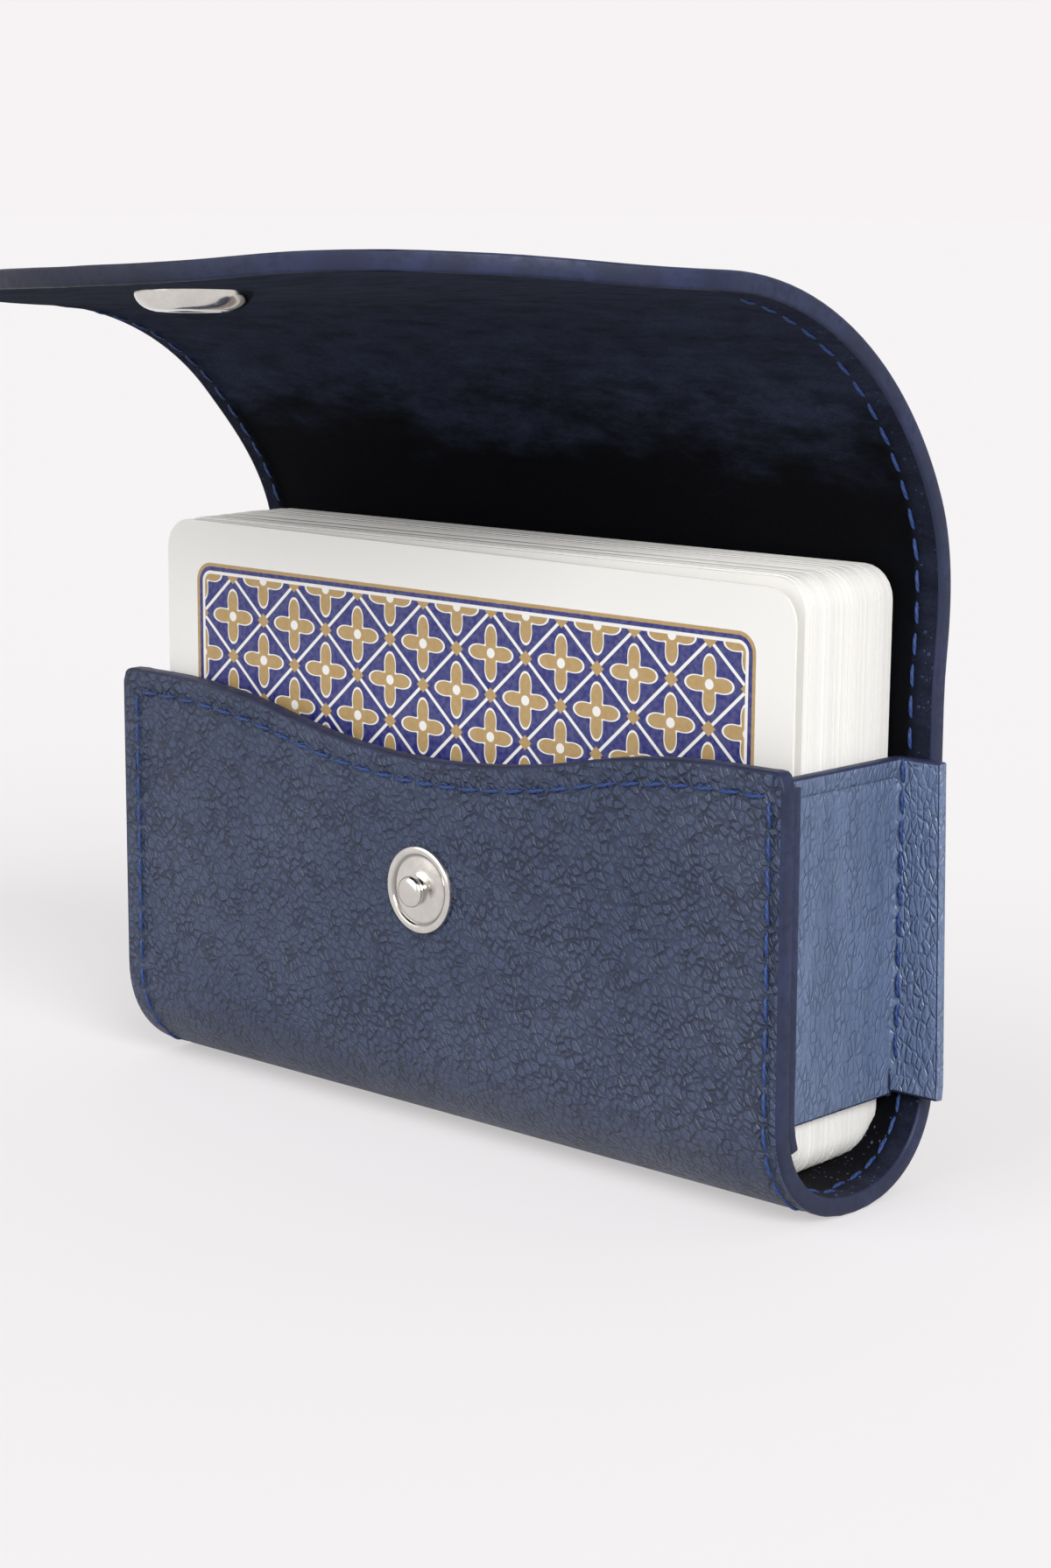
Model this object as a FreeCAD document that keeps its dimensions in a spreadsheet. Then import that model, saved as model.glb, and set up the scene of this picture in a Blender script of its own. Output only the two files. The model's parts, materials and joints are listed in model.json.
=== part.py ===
"""Leather playing card case with a press stud flap, standing open around a deck of cards.

One lined strip of leather runs down the front, round the bottom, up the back and on into the flap.
Two gussets close its ends. The flap bends at four fold lines, so it is cut there into stiff spans.
Millimetres and degrees, +X along the case, front at -Y, +Z up. The origin is under the middle of the
case, on the surface that its foot stands on.
"""
import FreeCAD, Part
import math
import os
import re
import Sketcher
from FreeCAD import Placement, Rotation, Vector

SIZES = {
    # Cards: the case is made to fit them
    "card_length": 88.0,
    "card_height": 57.0,
    "card_corner": 3.5,
    "card_gauge": 0.29,
    "card_air": 0.004,
    "deck_count": 52,
    "deck_clear": 0.15,
    "deck_yaw": 3.0,
    "front_card_gap": 0.1,
    "front_card_lean": 0.5,
    "front_card_roll": 0.65,
    # Strip of leather and its lining
    "leather": 1.2,
    "lining": 0.7,
    "glue_line": 0.05,
    "pocket_room": 6.8,
    "foot_width": 9.0,
    "card_show": 17.19,
    "thumb_end": 1.5,
    "thumb_depth": 4.75,
    "corner_round": 1.5,
    # Gussets
    "end_room": 0.5,
    "flange_width": 4.5,
    "gusset_leather": 1.2,
    "gusset_crease": 0.4,
    "gusset_drop": 1.7,
    "flange_drop": 0.7,
    "web_drop": 1.9,
    # Flap: each fold is an angle round the bend from the one before it
    "shoulder_drop": 8.19,
    "flap_radius": 37.0,
    "flap_turn": 87.0,
    "flap_side": 0.8,
    "flap_reach": 36.9,
    "fold_one_angle": 15.1,
    "fold_two_angle": 11.1,
    "fold_three_angle": 18.8,
    "fold_four_angle": 11.1,
    "fold_gap": 0.6,
    # Thread
    "edge_inset": 2.6,
    "stitch_pitch": 3.2,
    "stitch_gap": 0.8,
    "thread_width": 0.5,
    "thread_height": 0.25,
    "thread_seat": 0.08,
    # Press stud on the front, and its rivet
    "stud_width": 9.5,
    "stud_rim": 0.65,
    "rim_width": 0.9,
    "groove_width": 0.65,
    "groove_rise": 0.3,
    "skirt_rise": 1.0,
    "neck_run": 0.2,
    "neck_wall": 0.2,
    "head_width": 3.3,
    "head_round": 0.55,
    "head_undercut": 0.35,
    "shank_fit": 0.05,
    "rivet_width": 8.0,
    "rivet_head": 0.5,
    # Socket, spring and cap on the flap
    "tip_margin": 15.0,
    "socket_width": 11.5,
    "socket_round": 0.7,
    "socket_floor": 0.35,
    "lip_clear": 0.3,
    "mouth_flare": 0.75,
    "mouth_rise": 0.25,
    "spring_wire": 0.4,
    "spring_clear": 0.2,
    "spring_rise": 1.35,
    "spring_opening": 30.0,
    "cap_width": 12.0,
    "cap_rise": 1.4,
    "cap_edge": 0.5,
}

# Formulas in those names. Depths count inwards from the outer face of the leather.
WALL = "(leather + glue_line + lining)"
LEATHER = ("0", "leather")
LINING = ("(leather + glue_line)", WALL)
CARD_PITCH = "(card_gauge + card_air)"
HALF_DECK = f"(deck_count * {CARD_PITCH} / 2)"
BEND = f"({HALF_DECK} + pocket_room / 2 + {WALL})"
BEND_RISE = f"sqrt({BEND}^2 - (foot_width / 2)^2)"
WEB = "(card_length / 2 + end_room)"
HALF_CASE = f"({WEB} + flange_width)"
GUSSET_BEND = "(gusset_crease + gusset_leather)"
SEAM_PLACE = f"({WEB} + {GUSSET_BEND} + thread_width / 2)"
FLANGE_FACE = f"({BEND} - {WALL} - glue_line)"
FLANGE_FOOT = f"({BEND_RISE} - flange_drop)"
DECK_SWING = "(card_length / 2 - card_corner) * sin(deck_yaw)"
DECK_REACH = f"({HALF_DECK} * cos(deck_yaw) + {DECK_SWING})"
DECK_SEAT = f"({BEND_RISE} - sqrt(({BEND} - {WALL})^2 - {DECK_REACH}^2) + deck_clear)"
FRONT_TOP = f"({DECK_SEAT} + card_height - card_show)"
GUSSET_TOP = f"({FRONT_TOP} - gusset_drop)"
BACK_TOP = f"({DECK_SEAT} + card_height - shoulder_drop)"
FLAP_CENTRE = f"({BEND} - flap_radius)"
MID_RADIUS = f"(flap_radius - {WALL} / 2)"
HALF_GAP = f"(fold_gap / 2 / {MID_RADIUS} * 180 / pi)"
FOLDS = [
    "fold_one_angle",
    "(fold_one_angle + fold_two_angle)",
    "(fold_one_angle + fold_two_angle + fold_three_angle)",
    "(fold_one_angle + fold_two_angle + fold_three_angle + fold_four_angle)",
]
SOCKET_REACH = "(flap_reach - tip_margin)"
NECK = "(head_width / 2 - head_undercut)"
NECK_TOP = "(skirt_rise + neck_run)"
BORE = f"({NECK} - neck_wall)"
SHANK = f"({BORE} - shank_fit)"

# Height of the stud: where the socket comes to when every fold has turned until the flap hangs down
FOLD_TURN = f"((180 - flap_turn) / {len(FOLDS)})"
FOLD_LIFTS = [
    f"sin({fold} + {turns} * {FOLD_TURN}) - sin({fold} + {turns + 1} * {FOLD_TURN})"
    for turns, fold in enumerate(FOLDS)
]
STUD_RISE = f"({BACK_TOP} + {MID_RADIUS} * ({' + '.join(FOLD_LIFTS)}) - {SOCKET_REACH})"

doc = FreeCAD.newDocument("card_case")
sheet = doc.addObject("Spreadsheet::Sheet", "Sizes")
for row, (alias, value) in enumerate(SIZES.items(), start=1):
    sheet.set(f"A{row}", alias)
    sheet.set(f"B{row}", str(value))
    sheet.setAlias(f"B{row}", alias)
doc.recompute()
subparts = []


def bound(formula):
    """Formula with every size name pointed at its cell."""
    return re.sub(r"[a-z_]+", lambda word: "Sizes." + word[0] if word[0] in SIZES else word[0], formula)


def size(formula):
    """Value of a formula, in millimetres or degrees."""
    return float(sheet.evalExpression(bound(formula)))


def new_body(label, y="0", z="0", turn="0"):
    """Empty body at a place in YZ, turned about X."""
    body = doc.addObject("PartDesign::Body", label)
    body.Label = label
    body.AllowCompound = True
    place(body, y, z, turn)
    subparts.append(body)
    return body


def place(piece, y, z, turn):
    """Bind a piece's place in YZ and its angle about X."""
    spot = f"create(<<vector>>; 0; {bound(y)}; {bound(z)})"
    angle = f"create(<<rotation>>; create(<<vector>>; 1; 0; 0); {bound(turn)})"
    piece.setExpression("Placement", f"create(<<placement>>; {spot}; {angle})")


def new_sketch(body, plane, lift):
    """Empty sketch on one of the body's own planes, lifted along that plane's normal."""
    sketch = body.newObject("Sketcher::SketchObject", body.Label + "_sketch")
    base = [item for item in body.Origin.OriginFeatures if item.Role == plane + "_Plane"][0]
    sketch.AttachmentSupport = [(base, "")]
    sketch.MapMode = "FlatFace"
    sketch.setExpression(".AttachmentOffset.Base.z", bound(lift))
    return sketch


def outline(body, plane, corners, centres=None, lift="0"):
    """Closed sketch through corners given as pairs of formulas; centres maps a side to its arc's centre."""
    centres = centres or {}
    sketch = new_sketch(body, plane, lift)
    points = [Vector(size(across), size(along), 0) for across, along in corners]
    ends = []
    for side, start in enumerate(points):
        finish = points[(side + 1) % len(points)]
        if side in centres:
            ends.append(add_arc(sketch, start, finish, centres[side]))
        else:
            ends.append((sketch.addGeometry(Part.LineSegment(start, finish), False), 1, 2))
    for side, (edge, first, last) in enumerate(ends):
        following, meets, _ = ends[(side + 1) % len(ends)]
        sketch.addConstraint(Sketcher.Constraint("Coincident", edge, last, following, meets))
        pin(sketch, edge, first, corners[side])
    return sketch


def add_arc(sketch, start, finish, centre_formulas):
    """The shorter arc from start to finish about a centre, with the centre held across the chord."""
    centre = Vector(size(centre_formulas[0]), size(centre_formulas[1]), 0)
    from_angle = math.atan2(start.y - centre.y, start.x - centre.x)
    to_angle = math.atan2(finish.y - centre.y, finish.x - centre.x)
    forward = math.remainder(to_angle - from_angle, 2 * math.pi) > 0
    if not forward:
        from_angle, to_angle = to_angle, from_angle
    circle = Part.Circle(centre, Vector(0, 0, 1), (start - centre).Length)
    edge = sketch.addGeometry(Part.ArcOfCircle(circle, from_angle, to_angle), False)
    chord = finish - start
    only = "DistanceX" if abs(chord.y) > abs(chord.x) else "DistanceY"
    pin(sketch, edge, 3, centre_formulas, only)
    return (edge, 1, 2) if forward else (edge, 2, 1)


def pin(sketch, edge, point, formulas, only=None):
    """Hold one point of a sketch at its formulas, measured from the sketch's origin."""
    for kind, formula in zip(("DistanceX", "DistanceY"), formulas):
        if only in (None, kind):
            held = sketch.addConstraint(Sketcher.Constraint(kind, -1, 1, edge, point, size(formula)))
            sketch.setExpression(f"Constraints[{held}]", bound(formula))


def round_hole(body, along, length, forwards):
    """Cut a rivet's bore from the body's XZ plane through the wall before or behind it."""
    sketch = new_sketch(body, "XZ", "0")
    circle = Part.Circle(Vector(0, size(along), 0), Vector(0, 0, 1), size(BORE))
    edge = sketch.addGeometry(circle, False)
    pin(sketch, edge, 3, ("0", along))
    held = sketch.addConstraint(Sketcher.Constraint("Radius", edge, size(BORE)))
    sketch.setExpression(f"Constraints[{held}]", bound(BORE))
    feature(body, "Pocket", sketch, forwards, Length=length)


def feature(body, kind, sketch, reverse=False, **formulas):
    """Pad, Pocket or Revolution of a sketch; keywords bind its Length or Angle."""
    made = body.newObject("PartDesign::" + kind, f"{body.Label}_{kind.lower()}")
    made.Profile = sketch
    made.Reversed = reverse
    for name, formula in formulas.items():
        made.setExpression(name, bound(formula))
    return made


def turned(label, corners, centres=None, **spot):
    """Body of revolution about its own Z: corners are radius and height."""
    body = new_body(label, **spot)
    sketch = outline(body, "XZ", corners, centres)
    whole = feature(body, "Revolution", sketch)
    whole.ReferenceAxis = (sketch, ["V_Axis"])
    whole.Angle = 360


def face_of_strip(depth):
    """Section of one face of the strip in YZ, from the front's top edge to the first fold, and its arcs."""
    reach = f"({BEND} - {depth})"
    foot = f"sqrt({reach}^2 - ({BEND_RISE} - {depth})^2)"
    radius = f"(flap_radius - {depth})"
    angle = f"({FOLDS[0]} - {HALF_GAP})"
    path = [
        ("-" + reach, FRONT_TOP),
        ("-" + reach, BEND_RISE),
        ("-" + foot, depth),
        (foot, depth),
        (reach, BEND_RISE),
        (reach, BACK_TOP),
        (f"{FLAP_CENTRE} + {radius} * cos({angle})", f"{BACK_TOP} + {radius} * sin({angle})"),
    ]
    return path, {1: ("0", BEND_RISE), 3: ("0", BEND_RISE), 5: (FLAP_CENTRE, BACK_TOP)}


def strip(label, layer):
    """One layer of the strip: front, round bottom with its flat foot, back and the start of the flap."""
    body = new_body(label)
    outer, outer_arcs = face_of_strip(layer[0])
    inner, inner_arcs = face_of_strip(layer[1])
    back_again = {len(outer) + len(inner) - 2 - side: centre for side, centre in inner_arcs.items()}
    section = outline(body, "YZ", outer + inner[::-1], outer_arcs | back_again)
    wall = feature(body, "Pad", section, Length=f"2 * {HALF_CASE}")
    wall.SideType = "Symmetric"
    feature(body, "Pocket", thumb_outline(body), True, Length=f"{BEND} + leather")
    round_hole(body, STUD_RISE, f"{BEND} + leather", True)


def thumb_outline(body):
    """What is cut from the front's top edge: a shallow S-curved dip for the thumb, and rounded corners."""
    wide, clear = f"({WEB} - thumb_end)", f"({HALF_CASE} + leather)"
    bow = f"(({wide}^2 + thumb_depth^2) / (4 * thumb_depth))"
    low, soft = f"({FRONT_TOP} - corner_round)", f"({HALF_CASE} - corner_round)"
    right = [
        (f"({wide} / 2)", f"{FRONT_TOP} - thumb_depth / 2"),
        (wide, FRONT_TOP),
        (soft, FRONT_TOP),
        (HALF_CASE, low),
        (clear, low),
        (clear, f"{FRONT_TOP} + leather"),
    ]
    left = [("-" + across, along) for across, along in right[::-1]]
    crest = f"{FRONT_TOP} - {bow}"
    centres = {
        0: (wide, crest),
        2: (soft, low),
        8: ("-" + soft, low),
        10: ("-" + wide, crest),
        11: ("0", f"{FRONT_TOP} - thumb_depth + {bow}"),
    }
    return outline(body, "XZ", right + left, centres)


def curve(body, layer, angle, backwards):
    """Turn the wall's section about the body's own X, on from its XY plane or back from it."""
    outer, inner = f"flap_radius - {layer[0]}", f"flap_radius - {layer[1]}"
    across = "-" + HALF_CASE
    corners = [(HALF_CASE, inner), (HALF_CASE, outer), (across, outer), (across, inner)]
    sketch = outline(body, "XY", corners)
    sweep = feature(body, "Revolution", sketch, backwards, Angle=angle)
    sweep.ReferenceAxis = (sketch, ["H_Axis"])


def span(label, layer, fold, next_fold):
    """Curved span of the flap between two fold lines, turned about the middle of the bend."""
    body = new_body(label, FLAP_CENTRE, BACK_TOP, f"{fold} + {HALF_GAP}")
    curve(body, layer, f"{next_fold} - {fold} - 2 * {HALF_GAP}", False)


def tip(label, layer):
    """Last span of the flap: the rest of the bend, then the flat with its rounded end."""
    body = new_body(label, FLAP_CENTRE, BACK_TOP, "flap_turn")
    curve(body, layer, f"flap_turn - {FOLDS[-1]} - {HALF_GAP}", True)
    bulge = "(flap_reach - flap_side)"
    radius = f"(({HALF_CASE}^2 + {bulge}^2) / (2 * {bulge}))"
    centre = ("0", f"flap_reach - {radius}")
    across = "-" + HALF_CASE
    corners = [(HALF_CASE, "0"), (across, "0"), (across, "flap_side"), ("0", "flap_reach")]
    corners.append((HALF_CASE, "flap_side"))
    flat = outline(body, "XZ", corners, {2: centre, 3: centre}, f"{layer[0]} - flap_radius")
    feature(body, "Pad", flat, Length=f"{layer[1]} - {layer[0]}")
    round_hole(body, SOCKET_REACH, "flap_radius + leather", False)


def gusset(label, hand):
    """Hat section at one end: a web across the pocket, with flanges turned outwards along both panels."""
    body = new_body(label)
    bend, back = f"({WEB} + {GUSSET_BEND})", f"({WEB} + gusset_leather)"
    roll, inner = f"({FLANGE_FACE} - {GUSSET_BEND})", f"({FLANGE_FACE} - gusset_leather)"
    inside = [(HALF_CASE, FLANGE_FACE), (bend, FLANGE_FACE), (WEB, roll)]
    outside = [(back, roll), (bend, inner), (HALF_CASE, inner)]
    corners = inside + mirrored(inside[::-1]) + mirrored(outside[::-1]) + outside
    centres = {1: (bend, roll), 3: (bend, "-" + roll), 7: (bend, "-" + roll), 9: (bend, roll)}
    centres = {side: (f"{hand} * {across}", along) for side, (across, along) in centres.items()}
    hat = outline(body, "XY", handed(corners, hand), centres, FLANGE_FOOT)
    feature(body, "Pad", hat, Length=f"{GUSSET_TOP} - {FLANGE_FOOT}")
    tongue = [(WEB, roll), (WEB, "-" + roll), (back, "-" + roll), (back, roll)]
    lower = outline(body, "XY", handed(tongue, hand), None, f"{FLANGE_FOOT} - web_drop")
    feature(body, "Pad", lower, Length="web_drop")


def mirrored(corners):
    """Corners on the front half, from those on the back half."""
    return [(across, "-" + along) for across, along in corners]


def handed(corners, hand):
    """Corners at the right end, or at the left end for a hand of -1."""
    return [(f"{hand} * {across}", along) for across, along in corners]


def card_outline(body):
    """Rounded card on its long edge, in XZ, with that edge at zero."""
    half, inset = "(card_length / 2)", "(card_length / 2 - card_corner)"
    high = "(card_height - card_corner)"
    right = [(inset, "0"), (half, "card_corner"), (half, high), (inset, "card_height")]
    left = [("-" + across, along) for across, along in right[::-1]]
    low_centre, high_centre = (inset, "card_corner"), (inset, high)
    centres = {0: low_centre, 2: high_centre}
    centres[4] = ("-" + inset, high)
    centres[6] = ("-" + inset, "card_corner")
    return outline(body, "XZ", right + left, centres)


def deck():
    """Cards stacked from back to front, askew in the pocket and resting on two corners in its bottom."""
    body = new_body("playing_cards")
    spot = f"create(<<vector>>; -{HALF_DECK} * sin(deck_yaw); {HALF_DECK} * cos(deck_yaw); {DECK_SEAT})"
    angles = "create(<<rotation>>; deck_yaw; 0; 0)"
    body.setExpression("Placement", bound(f"create(<<placement>>; {spot}; {angles})"))
    sketch = card_outline(body)
    card = feature(body, "Pad", sketch, Length="card_gauge")
    stack = body.newObject("PartDesign::LinearPattern", "stack")
    stack.Originals = [card]
    stack.Direction = (sketch, ["N_Axis"])
    stack.setExpression("Length", bound(f"(round(deck_count) - 1) * {CARD_PITCH}"))
    stack.setExpression("Occurrences", bound("round(deck_count)"))
    body.Tip = stack


def front_card():
    """Loose card along the front of the deck, leaning out a little, with its left end higher."""
    body = new_body("front_card")
    feature(body, "Pad", card_outline(body), Length="card_gauge")
    back = f"(({HALF_DECK} + front_card_gap) / cos(deck_yaw))"
    reach = f"({back} + card_gauge + {DECK_SWING})"
    lift = "(card_length / 2 - card_corner) * sin(front_card_roll)"
    seat = f"{BEND_RISE} - sqrt(({BEND} - {WALL})^2 - {reach}^2) + deck_clear - {lift}"
    spot = f"create(<<vector>>; 0; -{back}; {seat})"
    angles = "create(<<rotation>>; deck_yaw; front_card_roll; front_card_lean)"
    body.setExpression("Placement", bound(f"create(<<placement>>; {spot}; {angles})"))


def press_stud():
    """Stud on the front with rim, skirt, neck and round head, and the rivet that holds it from inside."""
    outward = {"y": f"-{BEND}", "z": STUD_RISE, "turn": "90"}
    plate, inner_rim = "(stud_width / 2)", "(stud_width / 2 - rim_width)"
    knob = "(head_width / 2 - head_round)"
    knob_rise = f"({NECK_TOP} + sqrt(head_round^2 - (head_round - head_undercut)^2))"
    crown = f"({knob_rise} + head_round)"
    stud = [
        (BORE, "0"),
        (plate, "0"),
        (plate, "stud_rim"),
        (inner_rim, "stud_rim"),
        (f"{inner_rim} - groove_width", "groove_rise"),
        (NECK, "skirt_rise"),
        (NECK, NECK_TOP),
        (knob, crown),
        ("0", crown),
        ("0", NECK_TOP),
        (BORE, NECK_TOP),
    ]
    turned("snap_stud", stud, {6: (knob, knob_rise)}, **outward)
    head, seat = "(rivet_width / 2)", f"-({WALL} + glue_line"
    rivet = [
        ("0", f"{NECK_TOP} - shank_fit"),
        ("0", f"{seat} + rivet_head)"),
        (head, f"{seat} + rivet_head / 2)"),
        (head, f"{seat})"),
        (SHANK, f"{seat})"),
        (SHANK, f"{NECK_TOP} - shank_fit"),
    ]
    turned("stud_rivet", rivet, None, **outward)


def on_flap(depth, turn):
    """Place on the socket's axis, at a depth in the flap's flat, and the angle about X."""
    radius = f"(flap_radius - {depth})"
    across = f"{FLAP_CENTRE} + {radius} * cos(flap_turn) - {SOCKET_REACH} * sin(flap_turn)"
    up = f"{BACK_TOP} + {radius} * sin(flap_turn) + {SOCKET_REACH} * cos(flap_turn)"
    return {"y": across, "z": up, "turn": turn}


def press_socket():
    """Socket inside the flap, the split ring spring behind its lip, and the cap riveted to it outside."""
    seat = f"({WALL} + glue_line)"
    wall, soft = "(socket_width / 2)", "(socket_width / 2 - socket_round)"
    coil = "(head_width / 2 + spring_clear + spring_wire / 2)"
    well = f"({coil} + spring_wire / 2 + shank_fit)"
    lip, lip_rise = "(head_width / 2 + lip_clear)", "(spring_rise + spring_wire)"
    brim = f"({lip_rise} + mouth_rise)"
    socket = [
        (BORE, "0"),
        (wall, "0"),
        (wall, f"{brim} - socket_round"),
        (soft, brim),
        (f"{lip} + mouth_flare", brim),
        (lip, lip_rise),
        (well, lip_rise),
        (well, "socket_floor"),
        (BORE, "socket_floor"),
    ]
    turned("snap_socket", socket, {2: (soft, f"{brim} - socket_round")}, **on_flap(seat, "90 + flap_turn"))
    ring = doc.addObject("Part::Torus", "socket_spring")
    ring.Label = "socket_spring"
    ring.setExpression("Radius1", bound(coil))
    ring.setExpression("Radius2", bound("spring_wire / 2"))
    ring.setExpression("Angle3", bound("360 - spring_opening"))
    place(ring, **on_flap(f"({seat} + spring_rise)", "90 + flap_turn"))
    subparts.append(ring)
    edge, dome = "(cap_width / 2)", "(cap_rise - cap_edge)"
    cap = [
        ("0", f"-({seat} + socket_floor)"),
        (SHANK, f"-({seat} + socket_floor)"),
        (SHANK, "glue_line"),
        (edge, "glue_line"),
        (edge, "cap_edge"),
        ("0", "cap_rise"),
    ]
    crown = ("0", f"cap_rise - ({edge}^2 + {dome}^2) / (2 * {dome})")
    turned("snap_cap", cap, {4: crown}, **on_flap("0", "flap_turn - 90"))


def strip_runs():
    """Lengths of the outer face: front, front bend, foot and back bend."""
    quarter = size(BEND) * math.acos(size("foot_width") / 2 / size(BEND))
    return [size(FRONT_TOP) - size(BEND_RISE), quarter, size("foot_width"), quarter]


def strip_point(run, depth):
    """Place in YZ, direction and outward normal at a run down the front, round and up the back."""
    bend, rise = size(BEND), size(BEND_RISE)
    front, quarter, foot, _ = strip_runs()
    if run < front:
        spot, along = (-bend, size(FRONT_TOP) - run), (0, -1)
    elif run < front + quarter:
        angle = math.pi + (run - front) / bend
        spot, along = round_point(bend, rise, angle)
    elif run < front + quarter + foot:
        spot, along = (run - front - quarter - foot / 2, 0), (1, 0)
    elif run < front + quarter + foot + quarter:
        angle = (run - front - foot - 2 * quarter) / bend
        spot, along = round_point(bend, rise, angle)
    else:
        return flap_point(run - sum(strip_runs()) - (size(BACK_TOP) - rise), depth)
    out = (along[1], -along[0])
    return (spot[0] - out[0] * depth, spot[1] - out[1] * depth), along, out


def round_point(bend, rise, angle):
    """Place and direction on the round bottom."""
    spot = (bend * math.cos(angle), rise + bend * math.sin(angle))
    return spot, (-math.sin(angle), math.cos(angle))


def flap_point(run, depth):
    """The same, for a run from the top of the straight back along the middle of the wall."""
    angle = min(max(run / size(MID_RADIUS), 0), math.radians(size("flap_turn")))
    straight = run - angle * size(MID_RADIUS)
    out, along = (math.cos(angle), math.sin(angle)), (-math.sin(angle), math.cos(angle))
    radius = size("flap_radius") - depth
    across = size(FLAP_CENTRE) + radius * out[0] + straight * along[0]
    return (across, size(BACK_TOP) + radius * out[1] + straight * along[1]), along, out


def stitch(spot, along, out, length):
    """One stitch lying on a face: a short flat bar, a thread's width across."""
    width, height = size("thread_width"), size("thread_height")
    bar = Part.makeBox(width, length, height, Vector(-width / 2, -length / 2, size("thread_seat")))
    bar.Placement = Placement(spot, Rotation(along.cross(out), along, out, "ZXY"))
    return bar


def seam(label, stitches):
    """Thread of one seam as a group of stitches."""
    thread = doc.addObject("Part::Feature", label)
    thread.Label = label
    thread.Shape = Part.makeCompound(stitches)
    subparts.append(thread)


def spaced(start, finish):
    """Middles of stitches at about the pitch between two runs, and the length of each."""
    count = max(1, round((finish - start) / size("stitch_pitch")))
    pitch = (finish - start) / count
    return [start + pitch * (number + 0.5) for number in range(count)], pitch - size("stitch_gap")


def row_on_face(end, point, runs, length, depths):
    """Stitches on the outer face at one end of the case, and on the inner face at each run's depth."""
    made = []
    for run, depth in zip(runs, depths):
        spot, along, out = point(run, 0)
        across = end * size(SEAM_PLACE)
        made.append(stitch(Vector(across, *spot), Vector(0, *along), Vector(0, *out), length))
        if depth is not None:
            spot, along, out = point(run, depth)
            made.append(stitch(Vector(across, *spot), Vector(0, *along), -Vector(0, *out), length))
    return made


def inner_depth(run, length):
    """Depth of the face that a stitch shows on inside: the gusset's flange, or the lining past its ends."""
    height = strip_point(run, 0)[0][1]
    low, high = size(FLANGE_FOOT), size(GUSSET_TOP)
    if low + length / 2 < height < high - length / 2:
        return size(f"{WALL} + glue_line + gusset_leather")
    if low - length < height < high + length:
        return None
    return size(WALL)


def off_the_ground(run, length):
    """Whether a stitch on the outer face stays above the surface that the case stands on."""
    spot, along, out = strip_point(run, 0)
    thread = size("thread_seat + thread_height")
    return spot[1] > thread * max(-out[1], 0) + abs(along[1]) * length / 2


def strip_seams():
    """Side seams that hold the gussets, and the row along the front's top edge."""
    back = size(f"{BACK_TOP} - {BEND_RISE}")
    rise = math.radians(size(f"{FOLDS[0]} - {HALF_GAP}")) * size(MID_RADIUS)
    runs, length = spaced(size("edge_inset"), sum(strip_runs()) + back + rise - size("stitch_gap"))
    runs = [run for run in runs if off_the_ground(run, length)]
    depths = [inner_depth(run, length) for run in runs]
    for label, end in (("seam_left", -1), ("seam_right", 1)):
        seam(label, row_on_face(end, strip_point, runs, length, depths))
    reach = size(f"{SEAM_PLACE} - stitch_gap")
    places, length = spaced(-reach, reach)
    seam("seam_front_edge", [edge_stitch(across, length) for across in places])


def edge_stitch(across, length):
    """Stitch below the S-curved top edge of the front, along its slope."""
    wide, deep = size(f"{WEB} - thumb_end"), size("thumb_depth")
    bow = (wide ** 2 + deep ** 2) / (4 * deep)
    outer = max(wide - abs(across), 0)
    if abs(across) < wide / 2:
        drop, slope = deep - bow + math.sqrt(bow ** 2 - across ** 2), abs(across) / bow
    else:
        drop, slope = bow - math.sqrt(bow ** 2 - outer ** 2), outer / bow
    along = Vector(1, 0, math.copysign(slope, across)).normalize()
    height = size(FRONT_TOP) - drop - size("edge_inset")
    return stitch(Vector(across, -size(BEND), height), along, Vector(0, -1, 0), length)


def flap_seams():
    """Rows along both side edges of the flap, span by span, on both faces."""
    clear = size("fold_gap / 2 + stitch_gap / 2")
    folds = [math.radians(size(fold)) * size(MID_RADIUS) for fold in FOLDS]
    side_end = math.radians(size("flap_turn")) * size(MID_RADIUS) + size("flap_side")
    for number, start in enumerate(folds):
        last = number + 1 == len(folds)
        finish = side_end - size("stitch_gap") if last else folds[number + 1] - clear
        runs, length = spaced(start + clear, finish)
        depths = [size(WALL)] * len(runs)
        rows = [row_on_face(end, flap_point, runs, length, depths) for end in (-1, 1)]
        seam(f"flap_seam_{number + 1}", rows[0] + rows[1])


def build():
    """Every sub-part, from the strip outwards."""
    for material, layer in (("leather", LEATHER), ("lining", LINING)):
        strip(f"wrap_{material}", layer)
        for number, fold in enumerate(FOLDS[:-1]):
            span(f"flap_{material}_{number + 1}", layer, fold, FOLDS[number + 1])
        tip(f"flap_{material}_{len(FOLDS)}", layer)
    gusset("gusset_left", -1)
    gusset("gusset_right", 1)
    deck()
    front_card()
    press_stud()
    press_socket()
    strip_seams()
    flap_seams()


def check():
    """Stop before anything is written if a feature failed or a shape is empty or broken."""
    failed = [item.Name for item in doc.Objects if {"Invalid", "Error"} & set(item.State)]
    broken = [item.Label for item in subparts if item.Shape.isNull() or not item.Shape.isValid()]
    if failed or broken:
        raise RuntimeError(f"failed features {failed}, broken shapes {broken}")


build()
doc.recompute()
check()
os.makedirs("parts", exist_ok=True)
for item in subparts:
    item.Shape.exportStep(f"parts/{item.Label}.step")
    print(f"{item.Label}: {len(item.Shape.Solids)} solids, {item.Shape.Volume:.2f} mm3")
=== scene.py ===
"""Leather playing card case, dressed on the frame of its solid parts."""
import json
import math
import random

import bpy
import numpy as np
from bpy.props import FloatProperty, FloatVectorProperty, IntProperty, PointerProperty
from mathutils import Matrix, Vector, noise

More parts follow.
